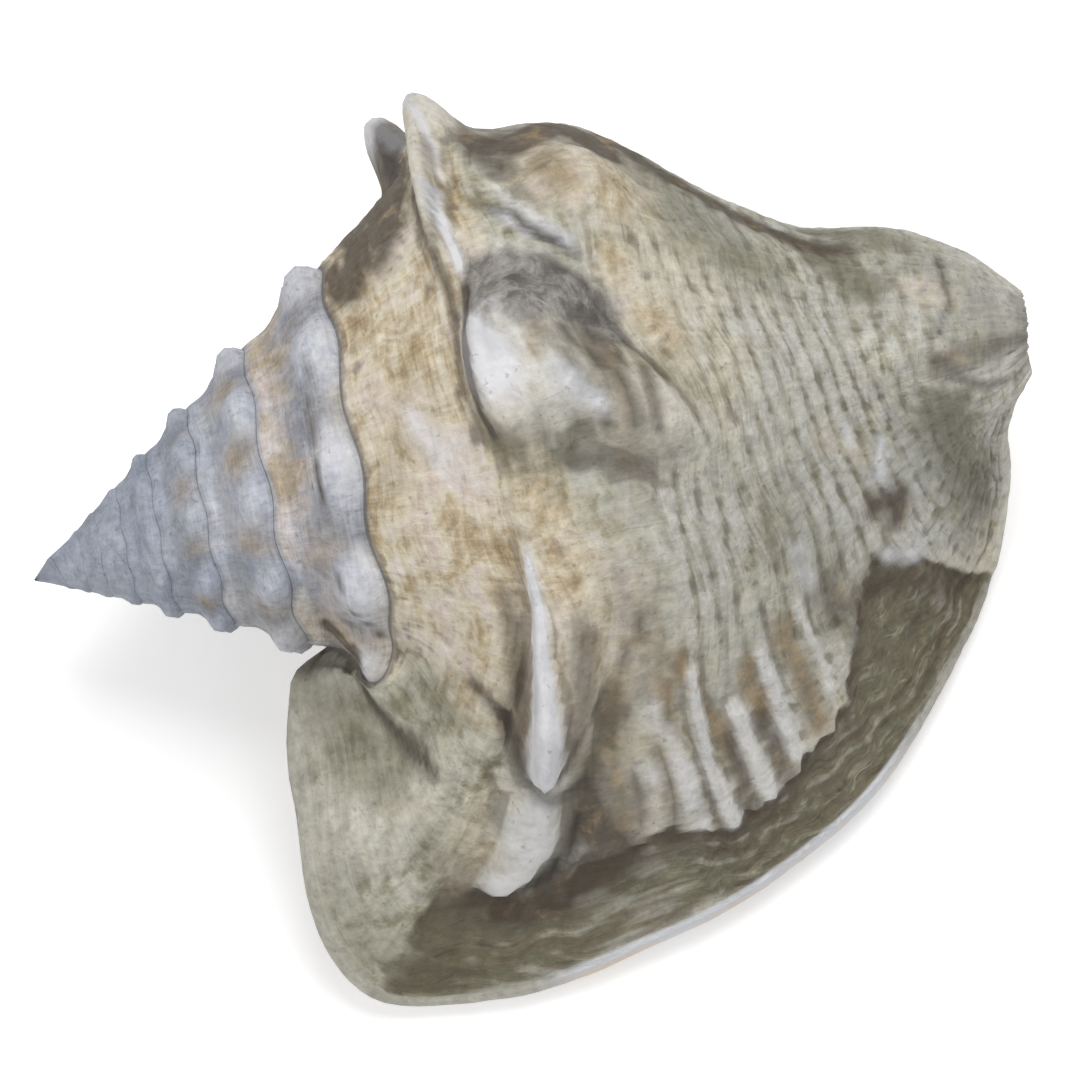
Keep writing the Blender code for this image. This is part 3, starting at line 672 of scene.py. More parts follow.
class Skin:
    """Points with their growth coordinates, and the faces between rows of them with their maps."""

    def __init__(self):
        self.points = []
        self.grown = []
        self.faces = []
        self.chart = []
        self.growth = []

    def add(self, points, angle, stations, lining=0.0):
        """Adds points and gives their numbers. lining is 1 in the mouth and 0 outside."""
        first, count = len(self.points), len(points)
        self.points.extend(np.array(points))
        values = (np.broadcast_to(v, count) for v in (angle, stations, lining))
        self.grown.extend(np.stack(list(values), 1))
        return list(range(first, len(self.points)))

    def at(self, row):
        return np.array([self.points[i] for i in row])

    def face(self, corners, chart, growth):
        """One face. A corner that repeats the one before is left out."""
        keep = [k for k in range(len(corners)) if corners[k] != corners[k - 1]]
        if len({corners[k] for k in keep}) > 2:
            self.faces.append([int(corners[k]) for k in keep])
            self.chart.append(np.array([chart[k] for k in keep]))
            self.growth.append(np.array([growth[k] for k in keep]))

    def join(self, row, following, sheet, at, after):
        """Four-sided faces between two rows of as many points, laid on a sheet of the map from one
        place to the next."""
        ends = np.array([row, following])
        share = np.arange(len(row)) / (len(row) - 1)
        corners = [(0, slice(None, -1)), (1, slice(None, -1)), (1, slice(1, None)), (0, slice(1, None))]
        quads = np.stack([ends[on, part] for on, part in corners], 1)
        spots = [(after if on else at, share[part]) for on, part in corners]
        chart = np.stack([np.stack(np.broadcast_arrays(*sheet.on_map(*spot)), -1) for spot in spots], 1)
        growth = np.stack([np.stack(np.broadcast_arrays(*sheet.grown(*spot)), -1) for spot in spots], 1)
        whole = (quads != np.roll(quads, 1, axis=1)).all(1)
        self.faces.extend(quads[whole].tolist())
        self.chart.append(chart[whole].reshape(-1, 2))
        self.growth.append(growth[whole].reshape(-1, 2))
        for k in np.flatnonzero(~whole):
            self.face(quads[k], chart[k], growth[k])

    def fill(self, row, arch, sheet, at, after):
        """Triangles between two rows of any number of points."""
        m, n = len(row) - 1, len(arch) - 1
        i, k = 0, 0
        while i < m or k < n:
            if (i + 1) * n <= (k + 1) * m:
                steps = ((i, 0), (k, 1), (i + 1, 0))
                i += 1
            else:
                steps = ((i, 0), (k, 1), (k + 1, 1))
                k += 1
            corners = [(arch if on else row)[j] for j, on in steps]
            spots = [((after if on else at), j / (n if on else m)) for j, on in steps]
            chart = [sheet.on_map(*spot) for spot in spots]
            self.face(corners, chart, [sheet.grown(*spot) for spot in spots])


class Sheet:
    """A stretch of the skin: where it lies on the map, and its growth coordinates."""

    def __init__(self, corner, size, start, end, stations):
        self.corner, self.size, self.start, self.end, self.stations = corner, size, start, end, stations

    def on_map(self, angle, share):
        u = (angle - self.start) / (self.end - self.start)
        return self.corner[0] + self.size[0] * u, self.corner[1] + self.size[1] * share

    def grown(self, angle, share):
        low, high = self.stations
        return angle / TURN, low + (high - low) * share


def column_angles():
    """The growth angle of each column, from the apex to the lip; a turn apart, columns line up."""
    turns = (APEX_TURNS * COLUMNS - np.arange(APEX_TURNS * COLUMNS + 1)) / COLUMNS
    crowded = turns - CROWDING * np.sin(2 * math.pi * turns) / (2 * math.pi)
    return LIP_ANGLE - TURN * crowded


def station_grid(angles, rows):
    """The stations of whole columns from suture to base: the spire's part, the seat and the rest."""
    seam = covered(angles)[:, None]
    spire = seam * np.linspace(0, 1, rows.spire + 1)
    seat = seam + SEAT * np.linspace(0, 1, rows.seat + 1)[1:]
    body = seam + SEAT + (1 - seam - SEAT) * np.linspace(0, 1, rows.body + 1)[1:]
    return spire, seat, body


def on_grid(surface, angles, stations, *more):
    """The surface's points at these angles, each with its row of stations."""
    return surface(np.broadcast_to(angles[:, None], stations.shape), stations, *more)


def spire_rows(skin, angles, mouth, sizes):
    """The part of every whorl that shows above the next one's suture, a row for each column."""
    apex = skin.add(plain(angles[:1], np.zeros(1)) * [TIP_DRAWN, 0, 0], angles[0], 0.0)[0]
    rows = [[apex] * (EARLY_ROWS.spire + 1)]
    for first, past, counts in ((0, mouth, EARLY_ROWS), (mouth, len(angles), LAST_ROWS)):
        stations = station_grid(angles[first:past], counts)[0]
        points = on_grid(outside, angles[first:past], stations, sizes)
        near_lip = smooth(angles[first:past], *NEAR_LIP)[:, None]
        fades = 1 - smooth(stations / (SEAM_FADES - (SEAM_FADES - LIP_SEAM_FADES) * near_lip), 0.0, 1.0)
        for c in range(max(first, 1), past):
            k = c - first
            if c < COLUMNS:
                start = apex
                grown = (c / COLUMNS) ** np.array([1.0, TIP_BLUNTNESS, TIP_BLUNTNESS])
                points[k] = skin.points[apex] + (points[k] - skin.points[apex]) * grown
            else:
                start = rows[c - COLUMNS][-1]
                points[k] += (skin.points[start] - points[k, 0]) * fades[k][:, None]
            rows.append([start] + skin.add(points[k, 1:], angles[c], stations[k, 1:]))
    return rows


def join_columns(skin, rows, columns, sheet, angles, counts_change=None):
    """Faces between each of these columns and the next. The rows change their count after one column."""
    for c in columns:
        join = skin.fill if c == counts_change else skin.join
        join(rows[c], rows[c + 1], sheet, angles[c], angles[c + 1])


def join_spire(skin, spire, angles, mouth):
    """Faces of the earlier whorls' spire part, each whorl on its own strip of the map."""
    used = 0.0
    for turn in reversed(range(APEX_TURNS - 1)):
        first, past = mouth - (turn + 1) * COLUMNS, mouth - turn * COLUMNS
        width, height = (side * GROWTH**-turn for side in STRIP_SIZE)
        strip = Sheet((0.0, STRIPS_TOP - used - height), (width, height), angles[first], angles[past],
                      (0.0, COVERED))
        used += height * STRIP_ROOM
        join_columns(skin, spire, range(first, past), strip, angles, mouth - 1)


def body_rows(skin, angles, deep, mouth, sizes):
    """The seat and the rest of each column that has them: those of the last whorl, and plainer ones of
    the whorl before, where the hollow shows it."""
    seats, bodies = {}, {}
    for first, past, counts, fine in (
        (deep - COLUMNS, mouth, HOLLOW_ROWS, None),
        (mouth, len(angles), LAST_ROWS, sizes),
    ):
        _, seat, body = station_grid(angles[first:past], counts)
        stations = np.hstack([seat, body])
        points = on_grid(outside, angles[first:past], stations, fine)
        seat_points = counts.seat - 1
        for c in range(first, past):
            lining = 1.0 - smooth(angles[c] - angles[mouth], *LINING_FADES)
            row = skin.add(points[c - first], angles[c], stations[c - first], lining)
            seats[c], bodies[c] = row[:seat_points], row[seat_points:]
    return seats, bodies


def make_hollow(skin, angles, deep, bodies):
    """The wall's inside, the columella that joins it to the whorl before, and the hollow's end. Gives
    both rows at the lip."""
    last = len(angles) - 1
    inner, columella = {}, {}
    stations = np.hstack(station_grid(angles[deep:], HOLLOW_ROWS))
    points = on_grid(inside, angles[deep:], stations)
    for c in range(deep, last + 1):
        parietal = bodies[c - COLUMNS]
        inner[c] = [parietal[0]] + skin.add(points[c - deep, 1:], angles[c], stations[c - deep, 1:], 1.0)
        share = np.linspace(0, 1, STRIP_ROWS + 1)[1:-1, None]
        start, end = skin.points[inner[c][-1]], skin.points[parietal[-1]]
        strip = skin.add(start * (1 - share) + end * share, angles[c], 1.0, 1.0)
        columella[c] = [inner[c][-1]] + strip + [parietal[-1]]
    inner_sheet = Sheet(*CHART["hollow"], angles[deep], angles[last], (0.0, 1.0))
    columella_sheet = Sheet(*CHART["columella"], angles[deep], angles[last], (1.0, 1.0))
    for c in range(deep, last):
        skin.join(inner[c + 1], inner[c], inner_sheet, angles[c + 1], angles[c])
        skin.join(columella[c + 1], columella[c], columella_sheet, angles[c + 1], angles[c])
    cap = bodies[deep - COLUMNS] + columella[deep][-2::-1]
    skin.fill(inner[deep], cap, Sheet(*CHART["hollow_end"], 0.0, 1.0, (0.0, 1.0)), 0.0, 1.0)
    return inner[last], columella[last]


def join_lip(skin, rim, inner):
    """Faces round the lip's edge, from the outside to the inside."""
    rim_sheet = Sheet(*CHART["lip"], 0.0, float(len(rim)), (0.0, 1.0))
    for k, (row, following) in enumerate(zip(rim, rim[1:])):
        skin.join(row, following, rim_sheet, float(k), k + 1.0)
    skin.fill(rim[-1], inner, rim_sheet, len(rim) - 1.0, float(len(rim)))


def canal_end(skin, base, turned, columella, lip_ends):
    """The canal's end: a dish inside the coil's base up to its turned point, and the edge that runs from
    there down to the lip."""
    dish = base[: turned + 1]
    deepest = skin.at(dish).mean(axis=0) - [CANAL_DEPTH, 0, 0]
    middle = skin.add([deepest], 0.0, 1.0, DISH_LINING)[0]
    x, y = DISH_SPOT
    for i, corner in enumerate(dish):
        round_it = [2 * math.pi * (i + k) / len(dish) for k in (0, 1)]
        spots = [(x + DISH_RADIUS * math.cos(a), y + DISH_RADIUS * math.sin(a)) for a in round_it]
        skin.face([dish[i - 1], corner, middle], spots + [DISH_SPOT], [(0.0, 1.0)] * 3)
    edge_sheet = Sheet(*CHART["canal_edge"], 0.0, 1.0, (1.0, 1.0))
    arch = [base[turned]] + columella[::-1]
    skin.fill(arch, base[turned:] + lip_ends, edge_sheet, 0.0, 1.0)


def shell_skin(sizes):
    """The whole shell as one closed skin: the outside, the hollow, the lip and the canal's end."""
    skin = Skin()
    angles = column_angles()
    last = len(angles) - 1
    mouth = last - COLUMNS
    deep = last - round(CAVITY_TURNS * COLUMNS)
    spire = spire_rows(skin, angles, mouth, sizes)
    seats, bodies = body_rows(skin, angles, deep, mouth, sizes)
    outer = {c: spire[c] + seats[c] + bodies[c] for c in range(mouth, last + 1)}

    join_spire(skin, spire, angles, mouth)
    parietal = Sheet(*CHART["parietal"], angles[deep - COLUMNS], angles[mouth], (COVERED + SEAT, 1.0))
    join_columns(skin, bodies, range(deep - COLUMNS, mouth), parietal, angles, mouth - 1)
    whole = Sheet(*CHART["outside"], angles[mouth], angles[last], (0.0, 1.0))
    join_columns(skin, outer, range(mouth, last), whole, angles)
    inner, columella = make_hollow(skin, angles, deep, bodies)
    rim = lip_rim(skin, outer[last], angles[last], seats[mouth])
    join_lip(skin, rim, inner)
    base = [bodies[c][-1] for c in range(mouth, last + 1)]
    turned = int(np.searchsorted(angles[mouth:], CANAL_SPLIT))
    canal_end(skin, base, turned, columella, [row[-1] for row in rim[1:]] + [inner[-1]])
    return skin


def lip_rim(skin, outer, angle, seat):
    """Rows around the lip's edge, from the outside to the last before the inside. Each but the first
    starts on a point of the seat."""
    stations = np.hstack(station_grid(np.array([angle]), LAST_ROWS))[0]
    start, end = skin.at(outer), inside(np.full_like(stations, angle), stations)
    end[0] = skin.points[seat[-1]]
    beyond = np.cross(np.gradient(start, axis=0), end - start)
    beyond /= np.maximum(np.linalg.norm(beyond, axis=1, keepdims=True), 1e-9)
    rounding = LIP_ROUNDING * np.minimum(np.linalg.norm(end - start, axis=1, keepdims=True), LIP_WALL)
    rounding[-RIM_TAPER:] *= np.linspace(1, 0, RIM_TAPER)[:, None]
    rim = [outer]
    inward = 1 - smooth(stations, *WHITE_EDGE[0]) * (1 - smooth(stations, *WHITE_EDGE[1]))
    rows = LAST_ROWS.seat
    for k in range(1, rows):
        share = k / rows
        bulge = beyond * math.sin(math.pi * share) * rounding
        points = start * (1 - share) + end * share + bulge
        lining = (0.3 + 0.7 * share) * (1 - inward) + smooth(share, 0.7, 1.0) * inward
        rim.append([seat[k - 1]] + skin.add(points[1:], angle, stations[1:], lining[1:]))
    return rim


def smoothed(values, pairs, count, rounds):
    """Values spread along the edges, again and again."""
    share = np.bincount(pairs.ravel(), minlength=count)
    for _ in range(rounds):
        total = np.zeros_like(values)
        for k in range(values.shape[1]):
            total[:, k] = np.bincount(pairs[:, 0], values[pairs[:, 1], k], count)
            total[:, k] += np.bincount(pairs[:, 1], values[pairs[:, 0], k], count)
        values = 0.4 * values + 0.6 * total / np.maximum(share, 1)[:, None]
    return values


def marking(tone, angle, station):
    """How strong one tone's markings are at a point. The ridges are bare, so they count as white."""
    total = 0.0
    for stroke in STROKES:
        if stroke.tone == tone:
            total = np.maximum(total, stroke.strength * near_stroke(stroke, angle, station))
    if tone == "white":
        for ridge in RIDGES:
            height, cover = along_ridge(ridge, angle, station)
            total = np.maximum(total, ridge.bareness * cover * smooth(height, 0.0002, 0.0022))
    return total


def paint_masks(mesh, skin):
    """Stores on the mesh what the finish is mixed by."""
    angle, station, lining = np.array(skin.grown, dtype=float).T
    masks = shape_masks(mesh, np.array(skin.points)) | growth_masks(angle, station)
    masks["mouth"] = lining
    for tone in TONES:
        masks[tone] = marking(tone, angle, station)
    for name, values in masks.items():
        layer = mesh.attributes.new(name, "FLOAT", "POINT")
        layer.data.foreach_set("value", np.ascontiguousarray(values, dtype=np.float32))


def shape_masks(mesh, points):
    """What the shape alone gives: where it stands out or lies low, over a short and a long reach."""
    count = len(points)
    normals = np.empty(count * 3)
    mesh.vertices.foreach_get("normal", normals)
    normals = normals.reshape(-1, 3)
    pairs = np.empty(len(mesh.edges) * 2, dtype=int)
    mesh.edges.foreach_get("vertices", pairs)
    pairs = pairs.reshape(-1, 2)
    flipped = points * MIRRORED
    near = smoothed(flipped, pairs, count, 5)
    far = smoothed(near, pairs, count, 90)
    crest = smoothed(((flipped - near) * normals).sum(1)[:, None], pairs, count, 1)[:, 0]
    stand = smoothed(((near - far) * normals).sum(1)[:, None], pairs, count, 4)[:, 0]
    return {"crest": np.clip(crest / FULL_CREST, -1, 1), "stand": np.clip(stand / FULL_STAND, -1, 1)}


def growth_masks(angle, station):
    """Where each layer of the shell shows, by growth angle and station."""
    last = smooth(angle, *LAST_WHORL)
    # Between the spire's nodules.
    hollows = (0.5 - 0.5 * np.cos(np.radians(angle) * NODULES)) ** 1.5
    hollows = hollows * np.exp(-(((station - 0.25) / 0.09) ** 2)) * smooth(angle, -1400, -900)
    # The cords fade at the neck, among the bare ribs and towards the canal's end.
    corded = smooth(station, *CORDS_SHOW) * (1 - 0.7 * smooth(station, *NECK)) * last
    corded = corded * (1 - bare_ribs(angle, station))
    corded = corded * (1 - 0.85 * smooth(station + (angle - 20) * 0.004, 0.80, 0.90) * smooth(angle, -20, 10))
    # The ramp of the whorl before the last, and what lies past the ledge.
    creamy = smooth(angle, -480, -430) * (1 - smooth(angle, -300, -280))
    past_ledge = 1 - ledge(angle, station)
    ledge_angle = curve(LEDGE, station)[..., 0]
    ragged = station + 0.012 * wander(angle * 0.4, station * 40, 4.1)
    white_edge = smooth(station, *WHITE_EDGE[0]) * (1 - smooth(station, *WHITE_EDGE[1]))
    return {
        "spire": 1 - smooth(angle, -292, -235) * smooth(station, -0.01, 0.012),
        "early": 1 - smooth(angle, -1000, -420),
        "creamy": creamy * (1 - smooth(station, 0.16, 0.27)),
        "between": hollows * (1 - smooth(angle, -300, -250)),
        "ramp": last * (1 - smooth(station, 0.27, 0.42)) * (1 - smooth(angle, 50, 66)),
        "lobe": smooth(angle, 44, 64) * (1 - smooth(station, 0.22, 0.32)),
        "corded": corded,
        "groove": (1 - smooth(cords(angle, station), 0.15, 0.65)) * corded,
        "margin": past_ledge * smooth(ragged, 0.215, 0.265),
        "shade": past_ledge * smooth(station, 0.22, 0.26) * (1 - smooth(angle - ledge_angle, 1.0, 9.0)),
        "edge": smooth(angle, 98.0, 99.6) * white_edge,
    }


class Value:
    """A socket's output, used in Python expressions as a number."""

    def __init__(self, nodes, socket):
        self.nodes, self.socket = nodes, socket

    def math(self, operation, *others):
        return self.nodes.add("ShaderNodeMath", {"operation": operation}, dict(enumerate((self, *others))))

    def __add__(self, other):
        return self.math("ADD", other)

    def __radd__(self, other):
        return self.math("ADD", other)

    def __sub__(self, other):
        return self.math("SUBTRACT", other)

    def __rsub__(self, other):
        return self.nodes.add("ShaderNodeMath", {"operation": "SUBTRACT"}, {0: other, 1: self})

    def __mul__(self, other):
        return self.math("MULTIPLY", other)

    def __rmul__(self, other):
        return self.math("MULTIPLY", other)

    def __neg__(self):
        return self.math("MULTIPLY", -1.0)

    def clipped(self):
        """The value kept between 0 and 1."""
        return self.nodes.add("ShaderNodeClamp", {}, {0: self, 1: 0.0, 2: 1.0})

    def between(self, low, high):
        """0 at low and 1 at high, with an even S between them."""
        settings = {"interpolation_type": "SMOOTHSTEP"}
        return self.nodes.add("ShaderNodeMapRange", settings, {0: self, 1: low, 2: high, 3: 0.0, 4: 1.0})


class Nodes:
    """Adds nodes to a material or world and gives their outputs as Values."""

    def __init__(self, tree):
        self.tree = tree

    def add(self, kind, settings, sockets, output=0):
        """A node of this type, its settings first and then its sockets' values or links."""
        node = self.tree.nodes.new(kind)
        for name, value in settings.items():
            if name == "stops":
                self.set_stops(node.color_ramp, value)
            else:
                setattr(node, name, value)
        self.feed(node, sockets)
        return Value(self, node.outputs[output])

    def feed(self, node, sockets):
        """Gives a node's sockets their values or links."""
        for name, value in sockets.items():
            if isinstance(value, Value):
                self.tree.links.new(value.socket, node.inputs[name])
            else:
                node.inputs[name].default_value = value

    def set_stops(self, ramp, stops):
        """Puts these stops on a new ramp."""
        while len(ramp.elements) < len(stops):
            ramp.elements.new(0.5)
        for element, (place, colour) in zip(ramp.elements, stops):
            element.position = place
            element.color = (*colour, 1.0)

    def mask(self, name):
        """One of the masks that are stored on the mesh."""
        return self.add("ShaderNodeAttribute", {"attribute_name": name}, {}, output="Fac")

    def noise(self, vector, scale, detail, roughness, lumps=0.0):
        """An uneven value round 0.5. lumps bends it into blotches."""
        return self.add("ShaderNodeTexNoise", {}, {
            "Vector": vector, "Scale": scale, "Detail": detail, "Roughness": roughness, "Distortion": lumps})

    def stretched(self, vector, scale):
        """A vector with each of its parts scaled."""
        return self.add("ShaderNodeVectorMath", {"operation": "MULTIPLY"}, {0: vector, 1: scale})

    def mix(self, factor, first, second, blend="MIX"):
        """Two colours mixed. A colour is a Value or three numbers."""
        first, second = (c if isinstance(c, Value) else (*c, 1.0) for c in (first, second))
        settings = {"data_type": "RGBA", "blend_type": blend, "clamp_factor": True}
        return self.add("ShaderNodeMix", settings, {0: factor, 6: first, 7: second}, output=2)

    def ramp(self, value, *stops):
        """A colour that follows a value. A stop is a place from 0 to 1 and a colour."""
        return self.add("ShaderNodeValToRGB", {"stops": stops}, {0: value})


def new_material(name):
    """A material with only its output and Principled nodes, and the means to add to them."""
    finish = bpy.data.materials.new(name)
    finish.use_nodes = True
    return finish, Nodes(finish.node_tree), finish.node_tree.nodes["Principled BSDF"]


class ShellPaint:
    """What the shell's finish is mixed from: its masks, noises over its skin, and its colours."""

    def __init__(self, nodes, colours):
        self.nodes, self.colours = nodes, colours
        self.mask = {name: nodes.mask(name) for name in (*MASKS, *TONES)}
        self.outside = 1.0 - self.mask["mouth"]

        # Clouds, blotches and specks in space. The haze is turned over, so it doesn't follow the clouds.
        spot = nodes.add("ShaderNodeTexCoord", {}, {}, output="Object")
        self.cloud = nodes.noise(spot, 30.0, 4.0, 0.6)
        self.haze = nodes.noise(nodes.stretched(spot, (1.0, 1.0, -1.0)), 46.0, 5.0, 0.62, 0.6)
        self.mottle = nodes.noise(spot, 130.0, 6.0, 0.65, 0.5)
        self.blotch = nodes.noise(spot, 230.0, 5.0, 0.7, 0.8)
        self.grain = nodes.noise(spot, 620.0, 4.0, 0.65)
        self.specks = nodes.noise(spot, 700.0, 2.0, 0.5)
        self.patchy = self.blotch * 0.35 + self.mottle * 0.40 + self.haze * 0.25 - 0.5

        # Streaks along the cords and along the growth lines, and the growth lines' waves near the lip.
        grown = nodes.add("ShaderNodeUVMap", {"uv_map": "grown"}, {})
        turns = nodes.add("ShaderNodeSeparateXYZ", {}, {0: grown}, output="X")
        self.station = nodes.add("ShaderNodeSeparateXYZ", {}, {0: grown}, output="Y")
        self.along_cords = nodes.noise(nodes.stretched(grown, (26.0, 95.0, 1.0)), 1.0, 4.0, 0.55, 0.5)
        self.along_growth = nodes.noise(nodes.stretched(grown, (230.0, 14.0, 1.0)), 1.0, 5.0, 0.62, 0.6)
        waved = turns + (self.station * 157.0).math("SINE") * 0.0030
        place = nodes.add("ShaderNodeCombineXYZ", {}, {0: waved * 120.0, 1: self.station * 14.0, 2: 0.0})
        self.wavy_growth = nodes.noise(place, 1.0, 6.0, 0.66, 0.9)

    def broken(self, name, amount):
        """A mask whose edge is broken up by blotches."""
        return (self.mask[name] + self.patchy * amount).between(0.25, 0.85)

    def faded(self, name, amount=2.5):
        """A mask that fades out softly and unevenly."""
        return (self.mask[name] * (1.0 + self.patchy * amount)).clipped()


def corded_body(paint):
    """The weathered body's colour: pale cords with dark furrows between them."""
    nodes, mask, colours = paint.nodes, paint.mask, paint.colours
    body = nodes.ramp(
        paint.mottle * 0.35 + paint.haze * 0.40 + paint.along_cords * 0.25,
        (0.38, colours.olive), (0.46, colours.pale_cord), (0.54, colours.chalk), (0.62, colours.pale_cord),
    )
    body = nodes.mix(paint.cloud.between(0.50, 0.64) * 0.45, body, colours.cream)
    streaks = paint.along_cords * 0.70 + paint.mottle * 0.30 + mask["groove"] * 0.06
    dark = nodes.mix(paint.haze.between(0.40, 0.60), colours.furrow, colours.olive)
    body = nodes.mix(streaks.between(0.48, 0.66) * mask["corded"] * 0.65, body, dark)
    return nodes.mix(mask["groove"] * paint.haze.between(0.42, 0.62) * 0.45, body, colours.olive)


def shoulder_ramp(paint):
    """The chalky cream and tan shoulder's colour."""
    colours = paint.colours
    return paint.nodes.ramp(
        paint.mottle * 0.40 + paint.along_growth * 0.10 + paint.along_cords * 0.20 + paint.haze * 0.30,
        (0.36, colours.stain), (0.44, colours.tan), (0.51, colours.cream), (0.58, colours.pink),
        (0.66, colours.chalk),
    )


def raised_lobe(paint):
    """The colour of the lobe that stands up beside the spire."""
    colours = paint.colours
    return paint.nodes.ramp(
        paint.mottle * 0.45 + paint.haze * 0.43 + paint.along_growth * 0.12,
        (0.36, colours.furrow), (0.44, colours.olive), (0.52, colours.pale_cord), (0.62, colours.cream),
    )


def dark_margin(paint):
    """The colour of the dark margin past the ledge, with its wavy growth lines."""
    colours = paint.colours
    margin = paint.nodes.ramp(
        paint.wavy_growth * 0.6 + paint.mottle * 0.4,
        (0.38, colours.umber), (0.46, colours.furrow), (0.53, colours.moss), (0.60, colours.olive),
        (0.68, colours.chalk),
    )
    return paint.nodes.mix(paint.mask["shade"] * 0.65, margin, colours.umber)


def grey_spire(paint):
    """The slate and lavender spire's colour, darker between its nodules."""
    nodes, mask, colours = paint.nodes, paint.mask, paint.colours
    spire = nodes.ramp(
        paint.mottle * 0.45 + paint.haze * 0.55,
        (0.36, colours.slate), (0.48, colours.lavender), (0.60, colours.pale_lavender),
    )
    late = 1.0 - mask["early"]
    spire = nodes.mix(paint.cloud.between(0.42, 0.62) * late * 0.50, spire, colours.cream)
    creamy = nodes.mix(paint.mottle.between(0.4, 0.6), colours.tan, colours.pink)
    spire = nodes.mix(mask["creamy"] * paint.haze.between(0.34, 0.56) * 0.85, spire, creamy)
    spire = nodes.mix(mask["early"] * 0.55, spire, colours.slate)
    darkening = nodes.mix(paint.haze.between(0.4, 0.6), colours.soot_and_shade, colours.stain)
    return nodes.mix(mask["between"] * (paint.mottle + 0.35), spire, darkening)


def worn_and_shaded(paint, ground):
    """Wears what stands out pale, and darkens the furrows and hollows with painted shade."""
    nodes, mask, colours = paint.nodes, paint.mask, paint.colours
    worn = mask["crest"].between(0.2, 1.0) * 0.30 + mask["stand"].between(0.3, 1.1) * 0.40
    worn = worn * (1.0 - mask["early"] * 0.9) * paint.outside
    ground = nodes.mix(worn, ground, nodes.mix(mask["spire"], colours.bone, colours.pale_lavender))
    # Painted shade: what lies low is darkened, umber on the body and dark grey on the spire.
    low = (-mask["crest"]).between(0.15, 1.0)
    sunk = (-mask["stand"]).between(0.2, 1.0)
    darkening = (low * 0.5 + sunk * 0.6 + (paint.grain - 0.5) * 0.2).clipped()
    darkening = darkening * paint.outside * (1.0 - mask["spire"] * 0.55)
    return nodes.mix(darkening, ground, nodes.mix(mask["spire"], colours.umber, colours.soot_and_shade))


def marked(paint, ground):
    """Lays the markings over the layers, one tone after the other."""
    nodes, colours, faded, mottle = paint.nodes, paint.colours, paint.faded, paint.mottle
    warm = nodes.ramp(
        mottle,
        (0.36, colours.stain), (0.44, colours.tan), (0.54, colours.cream), (0.64, colours.pink),
    )
    ochre = nodes.mix(mottle.between(0.42, 0.58), colours.furrow, colours.stain)
    brown = nodes.mix(mottle.between(0.50, 0.78), colours.umber, colours.stain)
    dusty = (paint.blotch * 0.6 + mottle * 0.4).between(0.40, 0.60)
    grey = nodes.mix(dusty, colours.soot_and_shade, colours.dusty)
    white = nodes.mix(mottle.between(0.35, 0.6), colours.pale_lavender, colours.porcelain)
    for name, amount, strength, colour in (
        ("olive", 2.5, 0.75, colours.moss), ("warm", 2.2, 0.75, warm), ("ochre", 2.5, 0.85, ochre),
        ("brown", 2.5, 0.9, brown), ("grey", 1.6, 0.9, grey), ("rib", 2.0, 0.85, colours.rib),
        ("white", 3.0, 0.85, white),
    ):
        ground = nodes.mix(faded(name, amount) * strength, ground, colour)
    # The dark strokes are painted shade in the creases and painted shadows beside the knob and the stub; the
    # seam is the sutures' dark line.
    seam = 1.0 - (paint.station + (mottle - 0.5) * 0.008).between(0.0025, 0.0065)
    creases = (faded("dark", 2.0) * 0.75 + seam * 0.60).clipped()
    return nodes.mix(creases * paint.outside, ground, colours.crevice)


def streaked(paint, ground):
    """Adds fine streaks along the growth lines and the cords, specks, and the lip's pale broken edge."""
    nodes, mask, colours = paint.nodes, paint.mask, paint.colours
    shade = (paint.along_growth - 0.5) * 0.3 + (paint.along_cords - 0.5) * 0.4
    shade = (shade + (paint.grain - 0.5) * 0.7 + (paint.blotch - 0.5) * 0.5 + 0.5).clipped()
    grey = nodes.ramp(shade, (0.25, (0.20,) * 3), (0.75, (0.80,) * 3))
    coarse = paint.outside * (1.0 - mask["white"].clipped() * 0.8) * 0.6
    ground = nodes.mix(coarse, ground, grey, "OVERLAY")
    ground = nodes.mix(paint.specks.between(0.66, 0.74) * 0.3 * paint.outside, ground, colours.umber)
    return nodes.mix(mask["edge"] * 0.85, ground, colours.edge)


def weathered_shell(colours):
    """The shell's finish: chalky, stained and streaked outside, and glossy in the mouth."""
    finish, nodes, shader = new_material("weathered_shell")
    paint = ShellPaint(nodes, colours)
    mask, grain = paint.mask, paint.grain

    ground = nodes.mix(paint.broken("ramp", 1.5), corded_body(paint), shoulder_ramp(paint))
    ground = nodes.mix(paint.broken("lobe", 1.5), ground, raised_lobe(paint))
    ground = nodes.mix(paint.broken("margin", 1.6) * 0.95, ground, dark_margin(paint))
    ground = nodes.mix(mask["spire"], ground, grey_spire(paint))
    ground = streaked(paint, marked(paint, worn_and_shaded(paint, ground)))
    lining = nodes.mix(paint.cloud.between(0.35, 0.65), colours.porcelain, colours.peach)
    ground = nodes.mix(mask["mouth"].between(0.1, 0.6), ground, lining)

    glossy = (mask["mouth"] + paint.faded("white") * 0.5 + paint.broken("warm", 2.0) * 0.15).clipped()
    roughness = (0.74 + (grain - 0.5) * 0.25) * (1.0 - glossy) + glossy * 0.24
    height = (grain * 0.3 + paint.along_growth * 0.35 + paint.along_cords * 0.4 + paint.mottle * 0.9
              + paint.blotch * 0.5 + paint.wavy_growth * mask["margin"] * 1.4)
    height = height * (1.0 - mask["mouth"] * 0.93) * (1.0 - mask["white"].clipped() * 0.7)
    bump = nodes.add("ShaderNodeBump", {}, {"Strength": 0.6, "Distance": 0.0011, "Height": height})
    nodes.feed(shader, {"Base Color": ground, "Roughness": roughness.clipped(), "Specular IOR Level": 0.4,
                        "Normal": bump})
    return finish


